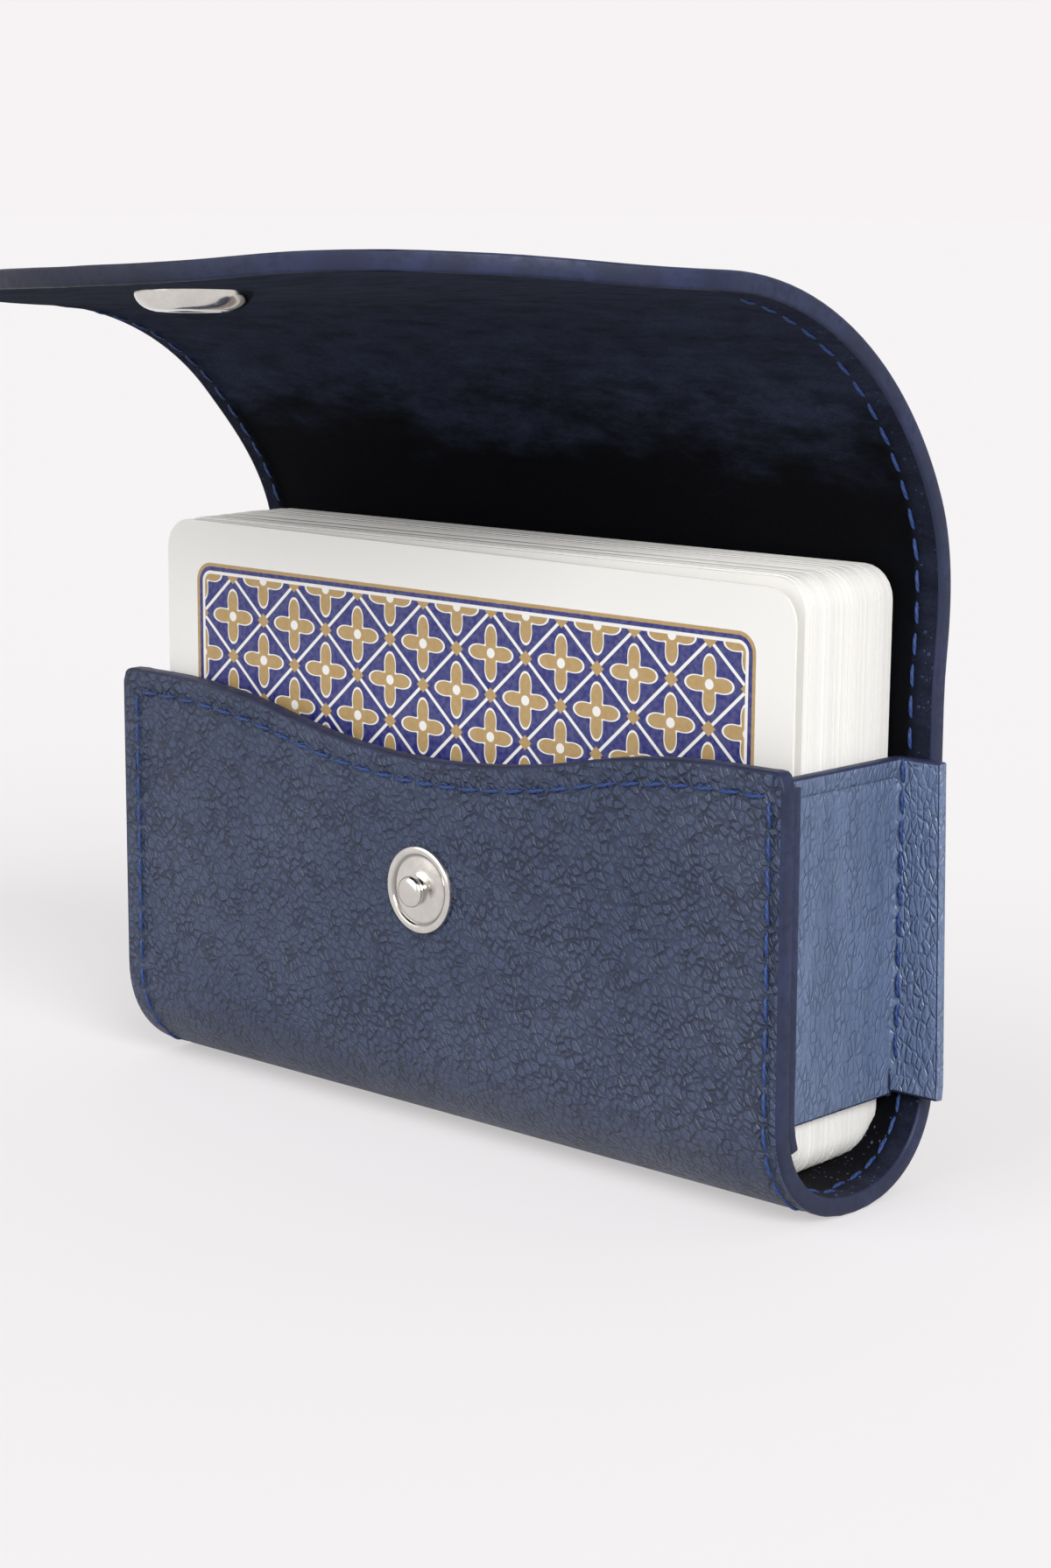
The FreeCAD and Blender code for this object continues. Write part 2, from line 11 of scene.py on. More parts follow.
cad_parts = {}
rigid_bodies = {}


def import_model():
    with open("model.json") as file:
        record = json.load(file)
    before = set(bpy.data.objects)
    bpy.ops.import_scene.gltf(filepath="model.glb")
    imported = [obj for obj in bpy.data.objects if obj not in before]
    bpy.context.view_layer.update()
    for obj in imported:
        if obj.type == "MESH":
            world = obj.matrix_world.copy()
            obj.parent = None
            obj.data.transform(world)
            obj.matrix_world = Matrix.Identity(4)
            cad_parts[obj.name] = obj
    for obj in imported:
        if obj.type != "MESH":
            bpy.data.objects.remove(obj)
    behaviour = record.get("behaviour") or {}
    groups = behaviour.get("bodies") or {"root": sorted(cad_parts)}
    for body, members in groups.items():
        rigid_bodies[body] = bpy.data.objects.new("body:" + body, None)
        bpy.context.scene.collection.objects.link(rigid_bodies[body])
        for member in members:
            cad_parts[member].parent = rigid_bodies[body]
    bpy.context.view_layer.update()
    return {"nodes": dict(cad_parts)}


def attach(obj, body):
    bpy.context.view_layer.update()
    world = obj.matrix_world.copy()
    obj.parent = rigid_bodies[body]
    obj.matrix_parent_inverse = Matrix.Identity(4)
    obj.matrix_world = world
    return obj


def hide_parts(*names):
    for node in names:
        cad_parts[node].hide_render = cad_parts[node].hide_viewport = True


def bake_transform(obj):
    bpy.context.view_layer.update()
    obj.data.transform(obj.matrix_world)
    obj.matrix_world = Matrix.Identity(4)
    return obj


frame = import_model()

bl_info = {
    "name": "Playing card case",
    "version": (1, 0, 0),
    "blender": (4, 5, 0),
    "location": "View3D > Sidebar > Card case",
    "description": "Models a leather playing card case with its deck, thread and press stud",
    "category": "Add Mesh",
}


def srgb(words):
    """Linear colour of a six-figure screen colour."""
    shades = [int(words[place:place + 2], 16) / 255 for place in (1, 3, 5)]
    linear = [
        shade / 12.92 if shade <= 0.04045 else ((shade + 0.055) / 1.055) ** 2.4 for shade in shades
    ]
    return (*linear, 1.0)


def length(name, words, value):
    """Property that holds a length in metres."""
    return FloatProperty(name=name, description=words, default=value, precision=6, unit="LENGTH")


def angle(name, words, degrees):
    """Property that holds an angle."""
    return FloatProperty(name=name, description=words, default=math.radians(degrees), unit="ROTATION")


def colour(name, words, value):
    """Property that holds a colour, given as a screen colour."""
    return FloatVectorProperty(
        name=name, description=words, default=srgb(value), subtype="COLOR", size=4, min=0, max=1
    )


class CASE_PG_strip(bpy.types.PropertyGroup):
    """Sizes of the leather strip that is front, bottom, back and flap."""

    half: length("Half length", "From the middle of the case to its end", 0.049)
    wall: length("Wall", "Leather and lining together", 0.00195)
    bend: length("Bottom radius", "Outer radius of the round bottom", 0.012994)
    rise: length("Bottom rise", "Height of the middle of the round bottom", 0.01219)
    foot: length("Foot", "Width of the flat that the case stands on", 0.009)
    front_top: length("Front height", "Height of the front panel at its ends", 0.046969)
    back_top: length("Back height", "Height at which the flap starts to curve", 0.055969)
    flap_y: length("Flap middle", "Place of the flap's centre of curve, front to back", -0.024006)
    flap_radius: length("Flap radius", "Outer radius of the flap's curve", 0.037)
    flap_turn: angle("Flap turn", "Angle of the flap's curve", 87)
    flap_reach: length("Flap reach", "Flat part of the flap along its middle", 0.0369)
    tip_radius: length("Tip radius", "Radius of the flap's rounded tip", 0.0513)
    thumb_wide: length("Thumb half width", "Half the width of the dip in the front's top edge", 0.043)
    thumb_deep: length("Thumb depth", "Depth of that dip", 0.00475)
    corner: length("Corner", "Rounding of the front's top corners", 0.0015)
    edge_round: length("Edge rounding", "Rounding of the painted edges", 0.00032)
    lean: length("Lean", "How far the flap leans out at its right end", 0.002)
    curl: length("Curl", "How far the flap's tip curls up on its right", 0.0013)
    seam_dip: length("Seam dip", "How far the thread pulls the leather in", 0.0002)
    swell: length("Swell", "Unevenness of the leather", 0.00022)


class CASE_PG_gusset(bpy.types.PropertyGroup):
    """Sizes of the folded leather ends."""

    web: length("Web", "Inner face of the end, from the middle of the case", 0.0445)
    face: length("Flange face", "Face that lies on the lining, from the middle", 0.010994)
    fold: length("Fold", "Outer radius of the folds", 0.0016)
    gauge: length("Gauge", "Thickness of the leather", 0.0012)
    top: length("Top", "Height of the top edge", 0.04527)
    foot: length("Foot", "Height of the bottom edge", 0.00959)
    crease: length("Crease", "Depth of the pressed line below the top edge", 0.0003)
    crease_drop: length("Crease place", "How far below the top edge that line runs", 0.0021)
    edge_round: length("Edge rounding", "Rounding of the edges", 0.00025)
    short: length("Front flange", "How far the front flange ends before the strip's side edge", 0.0003)
    over: length("Back flange", "How far the back flange stands past the strip's side edge", 0.0019)
    flare: length("Flare", "How much further the back flange stands out at its foot", 0.0008)


class CASE_PG_thread(bpy.types.PropertyGroup):
    """Sizes of the stitching."""

    inset: length("Inset", "From an edge to its row of stitches", 0.00265)
    front_inset: length("Front inset", "From the front's right edge to its row", 0.0017)
    edge_inset: length("Top inset", "From the front's top edge to its row", 0.0026)
    pitch: length("Pitch", "From one stitch to the next", 0.0032)
    gap: length("Gap", "Leather between two stitches", 0.00045)
    width: length("Width", "Width of the thread", 0.00044)
    height: length("Height", "How far a stitch stands up", 0.00026)


class CASE_PG_cards(bpy.types.PropertyGroup):
    """Sizes of the cards."""

    long: length("Length", "Long side of a card", 0.088)
    high: length("Height", "Short side of a card", 0.057)
    corner: length("Corner", "Radius of a card's corners", 0.0035)
    pitch: length("Pitch", "Thickness of the deck for each card", 0.000294)
    gauge: length("Gauge", "Thickness of a card", 0.00027)
    count: IntProperty(name="Cards", description="Cards in the deck", default=52, min=1)
    yaw: angle("Yaw", "How far the cards stand askew", 3.0)
    seat: length("Seat", "Height of the deck's lower corners", 0.0077)
    front_y: length("Loose card place", "Place of the loose card, front to back", -0.0077546)
    front_seat: length("Loose card seat", "Height of the loose card's lower edge", 0.0072)
    front_roll: angle("Loose card roll", "How far its left end stands higher", 0.65)
    front_lean: angle("Loose card lean", "How far it leans", 0.5)
    deck_lean: angle("Deck lean", "How far the deck leans back", 0.85)
    deck_shift: length("Deck shift", "How far the deck stands to the right", 0.0003)
    margin: length("Margin", "Bare border round the printed back", 0.0047)


class CASE_PG_snap(bpy.types.PropertyGroup):
    """Places of the press stud and its socket."""

    stud_z: length("Stud height", "Height of the press stud on the front", 0.028076)
    socket_run: length("Socket place", "From the end of the flap's curve to the socket", 0.0219)


class CASE_PG_finish(bpy.types.PropertyGroup):
    """Colours of the finishes."""

    leather: colour("Leather", "Body of the leather", "#34425f")
    # Painted shade: this colour darkens the creases between the pebbles, where shade falls.
    crease_shade: colour("Leather creases", "Creases between the pebbles", "#151c30")
    leather_light: colour("Leather crowns", "Rubbed crowns of the pebbles", "#434f6b")
    # A paler copy of the strip's leather, which the ends are made of: painted light on the ends.
    gusset: colour("Gusset leather", "Leather of the folded ends", "#687898")
    edge: colour("Edge paint", "Painted edges", "#272f4e")
    suede: colour("Suede", "Lining", "#04050a")
    # The paler nap high up towards the flap's tip is partly painted light, where light falls on it.
    suede_light: colour("Suede nap", "Lining where its nap lies the other way", "#363d55")
    thread: colour("Thread", "Stitching", "#27488a")
    nickel: colour("Nickel", "Press stud", "#d9d5cf")
    stock: colour("Card stock", "Edges and faces of the cards", "#f8f6f2")
    print_ground: colour("Printed ground", "Ground of the printed back", "#1b2172")
    print_gold: colour("Printed gold", "Ornament of the printed back", "#b8975f")
    floor: colour("Floor", "Floor and background", "#f7f3f4")


def get(context, group):
    """One group of this case's properties."""
    return getattr(context.scene, f"card_case_{group}")


def only(obj):
    """Go to object mode with this one piece selected, or with none."""
    if bpy.context.object and bpy.context.object.mode != "OBJECT":
        bpy.ops.object.mode_set(mode="OBJECT")
    bpy.ops.object.select_all(action="DESELECT")
    if obj:
        obj.select_set(True)
        bpy.context.view_layer.objects.active = obj


def spots_of(parts, name):
    """Places that a mesh holds for its points or its faces, one row each."""
    flat = np.empty(len(parts) * 3, dtype=np.float32)
    parts.foreach_get(name, flat)
    return flat.reshape(-1, 3).astype(np.float64)


def points_of(obj):
    """Points of a piece, one row each."""
    return spots_of(obj.data.vertices, "co")


def face_middles(obj):
    """Middle of each face of a piece."""
    return spots_of(obj.data.polygons, "center")


def set_points(obj, points):
    """Move the points of a piece."""
    obj.data.vertices.foreach_set("co", np.asarray(points, dtype=np.float32).ravel())
    obj.data.update()


def edit(obj, kind, chosen):
    """Go into edit mode with the chosen vertices or polygons selected."""
    only(obj)
    bpy.context.tool_settings.mesh_select_mode = (kind == "vertices", False, kind == "polygons")
    for part in ("vertices", "edges", "polygons"):
        rows = getattr(obj.data, part)
        picked = chosen if part == kind else np.zeros(len(rows))
        rows.foreach_set("select", np.asarray(picked, dtype=bool))
    bpy.ops.object.mode_set(mode="EDIT")


def leave_edit():
    """Go back to object mode."""
    bpy.ops.object.mode_set(mode="OBJECT")


def flip(obj):
    """Turn all the faces of a piece round."""
    edit(obj, "polygons", np.ones(len(obj.data.polygons)))
    bpy.ops.mesh.flip_normals()
    leave_edit()


def copy_of(obj):
    """Another piece like this one, with its own mesh."""
    made = obj.copy()
    made.data = obj.data.copy()
    bpy.context.collection.objects.link(made)
    return made


def join(name, pieces):
    """One piece from many."""
    only(None)
    for piece in pieces:
        piece.select_set(True)
    bpy.context.view_layer.objects.active = pieces[0]
    bpy.ops.object.join()
    whole = bpy.context.object
    whole.name = name
    return whole


def grid(name, columns, rows, place):
    """Grid of leather whose points stand where place(column, row) says."""
    only(None)
    bpy.ops.mesh.primitive_grid_add(
        x_subdivisions=len(columns) - 1, y_subdivisions=len(rows) - 1, size=1.0, location=(0, 0, 0)
    )
    obj = bpy.context.object
    obj.name = name
    points = points_of(obj)
    across = np.rint((points[:, 0] + 0.5) * (len(columns) - 1)).astype(int)
    up = np.rint((points[:, 1] + 0.5) * (len(rows) - 1)).astype(int)
    set_points(obj, [place(columns[column], rows[row]) for column, row in zip(across, up)])
    return obj


def push_out(steps, step):
    """Extrude the selected row in equal steps."""
    for _ in range(steps):
        bpy.ops.mesh.extrude_region_move(TRANSFORM_OT_translate={"value": step})


def swing(steps, degrees, centre, axis):
    """Spin the selected row about an axis, right-handed."""
    bpy.ops.mesh.spin(steps=steps, angle=-math.radians(degrees), center=centre, axis=axis)


def give_wall(obj, gauge, edge_round):
    """Thickness towards the inner side, and rounded edges."""
    only(obj)
    wall = obj.modifiers.new("wall", "SOLIDIFY")
    wall.thickness = gauge
    wall.offset = -1
    wall.use_even_offset = True
    wall.use_quality_normals = True
    wall.material_offset = 2
    wall.material_offset_rim = 1
    bpy.ops.object.modifier_apply(modifier=wall.name)
    rounding = obj.modifiers.new("rounded edges", "BEVEL")
    rounding.width = edge_round
    rounding.segments = 3
    rounding.limit_method = "ANGLE"
    rounding.angle_limit = math.radians(50)
    rounding.use_clamp_overlap = False
    rounding.material = 1
    bpy.ops.object.modifier_apply(modifier=rounding.name)


def smooth(obj, degrees=38):
    """Smooth shading except at sharp edges."""
    only(obj)
    bpy.ops.object.shade_smooth_by_angle(angle=math.radians(degrees))


def dress(obj, *finishes):
    """Give a piece its finishes in the order of its faces' numbers."""
    while len(obj.data.materials) > len(finishes):
        obj.data.materials.pop()
    for place, finish in enumerate(finishes):
        if place < len(obj.data.materials):
            obj.data.materials[place] = finish
        else:
            obj.data.materials.append(finish)


def thumb_drop(strip, x):
    """How far the front's top edge lies below its ends."""
    wide, deep = strip.thumb_wide, strip.thumb_deep
    bow = (wide ** 2 + deep ** 2) / (4 * deep)
    x = abs(x)
    if x < wide / 2:
        return deep - bow + math.sqrt(bow ** 2 - x ** 2)
    if x < wide:
        return bow - math.sqrt(bow ** 2 - (wide - x) ** 2)
    return 0.0


def smoothstep(value, low, high):
    """Smooth rise from 0 to 1."""
    share = np.clip((value - low) / (high - low), 0, 1)
    return share * share * (3 - 2 * share)


# Angle given to what lies in front, below any that the flap has
NOT_FLAP = -9.0

# Power of the round bottom's curve: 2 is an ellipse, and more is flatter
BOTTOM_POWER = 2.2

# Angles round the flap's curve, in degrees, over which its ends come to lean. The left end starts later,
# and leans a share more further round.
RIGHT_LEAN = (-8, 24)
LEFT_LEAN = (9, 42)
LEFT_LAST_LEAN = (45, 75)
LEFT_LAST_SHARE = 0.12

# Where across the tip it curls up most, how wide that is, and the angle past the curve over which it grows
CURL_PLACE = 0.033
CURL_WIDTH = 0.019
CURL_GROWTH = 40

# Angles round the flap's curve, in degrees, at which the strip is parted and at which the folds lie
CUTS = (6.0, 20.65, 35.6, 50.55)

# How far beside a seam the next points lie, and how far from it the thread pulls the leather in
SEAM_SIDE = 0.00042
SEAM_REACH = 0.00045
EDGE_ROW_REACH = 0.0004

# Share of its radius by which the middle of a round corner lies inside each of its sides
CORNER_SHARE = 0.293

# Angle on the arc of the flap's tip, in degrees, at which its last row ends
TIP_TURN = 36

# How far past the flap's curve, in radians, the thread still pulls the leather in
PAST_CURVE = 0.02

# Steps in which the strip is drawn out: round the bottom, over the foot, up the back, to each cut and the
# end of the curve, and along the flat of the flap
BOTTOM_STEPS = 14
FOOT_STEPS = 4
BACK_STEPS = 16
CURVE_STEPS = (3, 9, 9, 9, 14)
FLAT_STEPS = 12

# What counts as the same place
NEAR = 1e-5
NEARER = 1e-6


def flap_turn_at(strip, points):
    """Angle round the flap's curve of each point, and its outward direction in YZ."""
    y, z = points[:, 1] - strip.flap_y, points[:, 2] - strip.back_top
    turn = np.arctan2(z, y)
    end = strip.flap_turn
    past = turn > end
    along = -math.sin(end) * y + math.cos(end) * z
    low = z < 0
    turn = np.where(low, np.where(points[:, 1] > 0, z / strip.flap_radius, NOT_FLAP), turn)
    out = np.stack([np.cos(turn), np.sin(turn)], axis=1)
    out[past & ~low] = (math.cos(end), math.sin(end))
    out[low] = (1, 0)
    turn = np.where(past & ~low, end + np.maximum(along, 0) / strip.flap_radius, turn)
    return turn, out


def bottom_height(strip, y):
    """Height of the round bottom's outer face, softly flattened where the case stands."""
    share = np.clip(np.abs(y) / strip.bend, 0, 1)
    return strip.rise - strip.rise * (1 - share ** BOTTOM_POWER) ** (1 / BOTTOM_POWER)


def lean_out(strip, points):
    """The flap as it stands open: its right end leaning out and its left end in."""
    turn, out = flap_turn_at(strip, points)
    degrees = np.degrees(turn)
    side = points[:, 0] / strip.half
    right = strip.lean * smoothstep(degrees, *RIGHT_LEAN)
    last = LEFT_LAST_SHARE * smoothstep(degrees, *LEFT_LAST_LEAN)
    left = strip.lean * (smoothstep(degrees, *LEFT_LEAN) + last)
    far = side * np.where(side > 0, right, left)
    end = math.degrees(strip.flap_turn)
    past = smoothstep(degrees, end, end + CURL_GROWTH)
    far += strip.curl * past * np.exp(-((points[:, 0] - CURL_PLACE) / CURL_WIDTH) ** 2)
    moved = points.copy()
    moved[:, 1:] += out * far[:, None]
    return moved


def span_of(turn):
    """Which stretch of the strip an angle round the flap lies in: 0 is the case itself."""
    return sum(math.degrees(turn) > cut for cut in CUTS)


def join_bodies(obj, span):
    """Ride the case's own stretch of the strip on the case; any other stretch only has its transform baked
    in.
    """
    if span == 0:
        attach(obj, "case")
        return
    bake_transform(obj)


def strip_columns(strip, thread):
    """Places of the strip's columns of points, with close ones where the seams run."""
    seam = strip.half - thread.inset
    even = [0.003 * step for step in range(15)] + [0.0438, 0.0452]
    close = [seam - SEAM_SIDE, seam, seam + SEAM_SIDE, 0.04705, 0.0473, 0.0477, 0.0482, strip.half]
    half = even + close
    return [-x for x in reversed(half[1:])] + half


def front_rows(strip, thread):
    """Heights of the front's rows of points, with close ones where its seam runs."""
    top, row = strip.front_top, thread.edge_inset
    rows = list(np.linspace(strip.rise, top - 0.0052, 13))
    return rows + [top - drop for drop in (0.0038, row + SEAM_SIDE, row, row - SEAM_SIDE, 0.0013, 0)]


class CASE_OT_strip(bpy.types.Operator):
    """Model the leather strip that is front, round bottom, back and flap"""

    bl_idname = "card_case.strip"
    bl_label = "Leather strip"

    def execute(self, context):
        strip, thread = get(context, "strip"), get(context, "thread")
        obj = self.shape(strip, thread)
        self.shape_front(strip, obj)
        self.shape_tip(strip, thread, obj)
        self.settle(strip, thread, obj)
        dress(obj, leather_finish(context), edge_finish(context), suede_finish(context))
        give_wall(obj, strip.wall, strip.edge_round)
        set_points(obj, lean_out(strip, points_of(obj)))
        for span, piece in enumerate(self.split(strip, obj)):
            smooth(piece)
            join_bodies(piece, span)
            nodes = ("wrap_leather", "wrap_lining")
            if span > 0:
                nodes = (f"flap_leather_{span}", f"flap_lining_{span}")
            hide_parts(*nodes)
        return {"FINISHED"}

    def shape(self, strip, thread):
        """The sheet: front panel, round bottom, back, curve and flat of the flap."""
        columns, rows = strip_columns(strip, thread), front_rows(strip, thread)
        obj = grid("wrap", columns, rows, lambda x, z: (x, -strip.bend, z))
        edit(obj, "vertices", points_of(obj)[:, 2] < strip.rise + NEARER)
        quarter = math.degrees(math.acos(strip.foot / 2 / strip.bend))
        swing(BOTTOM_STEPS, quarter, (0, 0, strip.rise), (1, 0, 0))
        push_out(FOOT_STEPS, (0, strip.foot / FOOT_STEPS, 0))
        swing(BOTTOM_STEPS, quarter, (0, 0, strip.rise), (1, 0, 0))
        push_out(BACK_STEPS, (0, 0, (strip.back_top - strip.rise) / BACK_STEPS))
        so_far = 0.0
        for cut, steps in zip(CUTS + (math.degrees(strip.flap_turn),), CURVE_STEPS):
            swing(steps, cut - so_far, (0, strip.flap_y, strip.back_top), (1, 0, 0))
            so_far = cut
        flat = Vector((0, -math.sin(strip.flap_turn), math.cos(strip.flap_turn)))
        push_out(FLAT_STEPS, tuple(flat * strip.flap_reach / FLAT_STEPS))
        leave_edit()
        if obj.data.polygons[0].normal.y > 0:
            raise RuntimeError("The strip's faces point inwards")
        return obj

    def shape_front(self, strip, obj):
        """The S-curved top edge of the front and its rounded corners."""
        points = points_of(obj)
        corner, half, top = strip.corner, strip.half, strip.front_top
        dip_starts, dip_is_full = 0.02, top - 0.004
        front = (np.abs(points[:, 1] + strip.bend) < NEAR) & (points[:, 2] > strip.rise + NEARER)
        for place in np.flatnonzero(front):
            x, _, z = points[place]
            points[place, 2] -= thumb_drop(strip, x) * float(smoothstep(z, dip_starts, dip_is_full))
        for place in np.flatnonzero(front & (np.abs(points[:, 0]) > half - corner)):
            x, _, z = points[place]
            at_side, at_top = abs(x) > half - NEAR, z > top - NEAR
            if at_side and at_top:
                points[place, 0] = math.copysign(half - CORNER_SHARE * corner, x)
                points[place, 2] = top - CORNER_SHARE * corner
            elif at_side and z > top - 1.2 * corner:
                points[place, 2] = top - 1.15 * corner
            elif at_top:
                points[place, 2] = top - corner + math.sqrt(corner ** 2 - (abs(x) - half + corner) ** 2)
        set_points(obj, points)

    def shape_tip(self, strip, thread, obj):
        """The flap's rounded tip: rows that narrow along the arc of its edge."""
        points = points_of(obj)
        end, reach, radius = strip.flap_turn, strip.flap_reach, strip.tip_radius
        y, z = points[:, 1] - strip.flap_y, points[:, 2] - strip.back_top
        along = -math.sin(end) * y + math.cos(end) * z
        flat = (along > NEAR) & (points[:, 2] > strip.back_top)
        first, last = math.asin(strip.half / radius), math.radians(TIP_TURN)
        columns = np.array(strip_columns(strip, thread))
        even = np.interp(points[:, 0], columns, np.linspace(-strip.half, strip.half, len(columns)))
        spread = smoothstep(along / reach, 0, 0.6) * flat
        points[:, 0] += (even - points[:, 0]) * spread
        for place in np.flatnonzero(flat):
            share = along[place] / reach
            turn = first + (last - first) * share
            wide = radius * math.sin(turn)
            side = reach - radius + radius * math.cos(turn)
            x = points[place, 0] * wide / strip.half
            bowed = reach * share - (reach * share - side) * (x / wide) ** 2
            arc = reach - radius + math.sqrt(radius ** 2 - x ** 2)
            run = bowed + (arc - bowed) * share ** 4
            points[place] = (
                x,
                strip.flap_y + strip.flap_radius * math.cos(end) - math.sin(end) * run,
                strip.back_top + strip.flap_radius * math.sin(end) + math.cos(end) * run,
            )
        set_points(obj, points)

    def settle(self, strip, thread, obj):
        """Soft bottom, seams pulled in by the thread, and the leather's unevenness."""
        points = points_of(obj)
        low = points[:, 2] < strip.rise - NEARER
        points[low, 2] = bottom_height(strip, points[low, 1])
        set_points(obj, points)
        normals = np.array([tuple(vert.normal) for vert in obj.data.vertices])
        inset = np.where((points[:, 1] < 0) & (points[:, 0] > 0), thread.front_inset, thread.inset)
        inset[points[:, 2] > strip.front_top + 0.001] = thread.inset
        seam = np.exp(-((np.abs(points[:, 0]) - strip.half + inset) / SEAM_REACH) ** 2)
        turn, _ = flap_turn_at(strip, points)
        seam[turn > strip.flap_turn + PAST_CURVE] = 0
        front = (np.abs(points[:, 1] + strip.bend) < 10 * NEAR) & (points[:, 2] > strip.rise)
        for place in np.flatnonzero(front):
            x, _, z = points[place]
            below = strip.front_top - thumb_drop(strip, x) - z
            if thread.inset - strip.half < x < strip.half - thread.front_inset:
                row = math.exp(-((below - thread.edge_inset) / EDGE_ROW_REACH) ** 2)
                seam[place] = max(seam[place], row)
        swell = np.array([self.unevenness(Vector(point)) for point in points]) * strip.swell
        above_foot = smoothstep(points[:, 2], 0.0005, 0.004)
        near_seam = smoothstep(np.abs(points[:, 0]), 0.0415, 0.0452)
        swell *= above_foot * (1 - near_seam)
        set_points(obj, points + normals * (swell - seam * strip.seam_dip)[:, None])

    def unevenness(self, spot):
        """Slow waves in the leather."""
        return noise.noise(spot * 55) + 0.45 * noise.noise(spot * 140 + Vector((3, 7, 1)))

    def split(self, strip, obj):
        """The case's own stretch and the four that the flap's folds lie in."""
        names = ["wrap"] + [f"flap_shell_{number}" for number in (1, 2, 3, 4)]
        spans = [obj]
        for number in (4, 3, 2, 1):
            turn, _ = flap_turn_at(strip, face_middles(obj))
            before = set(bpy.data.objects)
            edit(obj, "polygons", np.degrees(turn) > CUTS[number - 1])
            bpy.ops.mesh.separate(type="SELECTED")
            leave_edit()
            made = [new for new in bpy.data.objects if new not in before]
            if len(made) != 1:
                raise RuntimeError("The flap didn't come apart at its folds")
            spans.insert(1, made[0])
        for name, piece in zip(names, spans):
            piece.name = name
        return spans


# Steps in which a gusset is drawn out: across each flange, round each fold and across the end
FLANGE_STEPS = 4
TURN_STEPS = 6
WEB_STEPS = 14

# Height over which the bottom edge curves, and how far it goes down in front and up at the back
FOOT_CURVE = 0.012
FRONT_DROP = -0.0014
BACK_RISE = 0.0004

# Distances out from the web over which a flange comes in, and over which the web goes out
FLANGE_STARTS = (0.0004, 0.0016)
WEB_ENDS = (0.0002, 0.001)

# Width of the pressed line, and how far and how closely the leather of the web waves
CREASE_WIDTH = 0.0004
WAVE_HEIGHT = 0.0003
WAVE_CLOSENESS = 60


class CASE_OT_gussets(bpy.types.Operator):
    """Model the two folded leather ends"""

    bl_idname = "card_case.gussets"
    bl_label = "Gussets"

    def execute(self, context):
        strip, gusset = get(context, "strip"), get(context, "gusset")
        right = self.shape(strip, gusset)
        left = copy_of(right)
        left.data.transform(Matrix.Scale(-1, 4, (1, 0, 0)))
        flip(left)
        for piece, name in ((right, "gusset_end_right"), (left, "gusset_end_left")):
            piece.name = name
            self.settle(strip, gusset, piece)
            dress(piece, gusset_finish(context), edge_finish(context), gusset_finish(context))
            give_wall(piece, gusset.gauge, gusset.edge_round)
            self.bare_side(strip, gusset, piece)
            smooth(piece)
            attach(piece, "case")
        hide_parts("gusset_right")
        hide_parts("gusset_left")
        return {"FINISHED"}

    def bare_side(self, strip, gusset, obj):
        """Unpainted leather on the side of the back flange that stands past the strip."""
        for face in obj.data.polygons:
            if abs(face.center.x) > strip.half + gusset.over / 2 and abs(face.normal.x) > 0.7:
                face.material_index = 0

    def shape(self, strip, gusset):
        """Front flange, fold, end and back flange as one sheet, at the right."""
        bend, mid = gusset.web + gusset.fold, gusset.face - gusset.fold
        columns = list(np.linspace(strip.half - gusset.short, bend, FLANGE_STEPS + 1))
        crease = gusset.top - gusset.crease_drop
        rows = list(np.linspace(gusset.foot, crease - 0.0014, 22))
        rows += [crease + step for step in (-0.0007, -0.00035, 0, 0.00035, 0.0007)]
        rows += [gusset.top - 0.0006, gusset.top]
        obj = grid("gusset", columns, rows, lambda x, z: (x, -gusset.face, z))
        edit(obj, "vertices", points_of(obj)[:, 0] < bend + NEARER)
        swing(TURN_STEPS, -90, (bend, -mid, 0), (0, 0, 1))
        push_out(WEB_STEPS, (0, 2 * mid / WEB_STEPS, 0))
        swing(TURN_STEPS, -90, (bend, mid, 0), (0, 0, 1))
        push_out(FLANGE_STEPS, ((strip.half + gusset.over - bend) / FLANGE_STEPS, 0, 0))
        leave_edit()
        web = np.abs(face_middles(obj)[:, 0] - gusset.web) < NEAR
        sides = [obj.data.polygons[int(place)].normal.x for place in np.flatnonzero(web)]
        if sum(sides) > 0:
            flip(obj)
        return obj

    def settle(self, strip, gusset, obj):
        """Flare of the back flange, bottom edge as cut, pressed line below the top edge, and unevenness."""
        points = points_of(obj)
        normals = np.array([tuple(vert.normal) for vert in obj.data.vertices])
        height = points[:, 2].copy()
        low = 1 - smoothstep(height, gusset.foot, gusset.foot + FOOT_CURVE)
        out = np.abs(points[:, 0]) - gusset.web
        flange = smoothstep(out, *FLANGE_STARTS)
        at_back = points[:, 1] > 0
        spread = np.clip((out - gusset.fold) / (strip.half - gusset.web - gusset.fold), 0, 1) * at_back
        flare = spread * (gusset.top - height) / (gusset.top - gusset.foot)
        points[:, 0] += np.sign(points[:, 0]) * flare * gusset.flare
        points[:, 2] += low * flange * np.where(points[:, 1] < 0, FRONT_DROP, BACK_RISE)
        drop = np.maximum(strip.rise - points[:, 2], 0)
        inner = strip.bend - strip.wall
        points[:, 1] -= np.sign(points[:, 1]) * flange * (inner - np.sqrt(inner ** 2 - drop ** 2))
        crease = np.exp(-((height - gusset.top + gusset.crease_drop) / CREASE_WIDTH) ** 2)
        spots = [Vector(point) * WAVE_CLOSENESS + Vector((5, 2, 9)) for point in points]
        wave = np.array([noise.noise(spot) for spot in spots])
        web = 1 - smoothstep(out, *WEB_ENDS)
        moved = crease * gusset.crease * web + wave * WAVE_HEIGHT * web
        set_points(obj, points + normals * moved[:, None])


# Shape of a stitch: how flat it is, how high it arches and how far its ends sink in
STITCH_FLATNESS = 0.42
STITCH_ARCH = 0.6
STITCH_SINK = 1.7

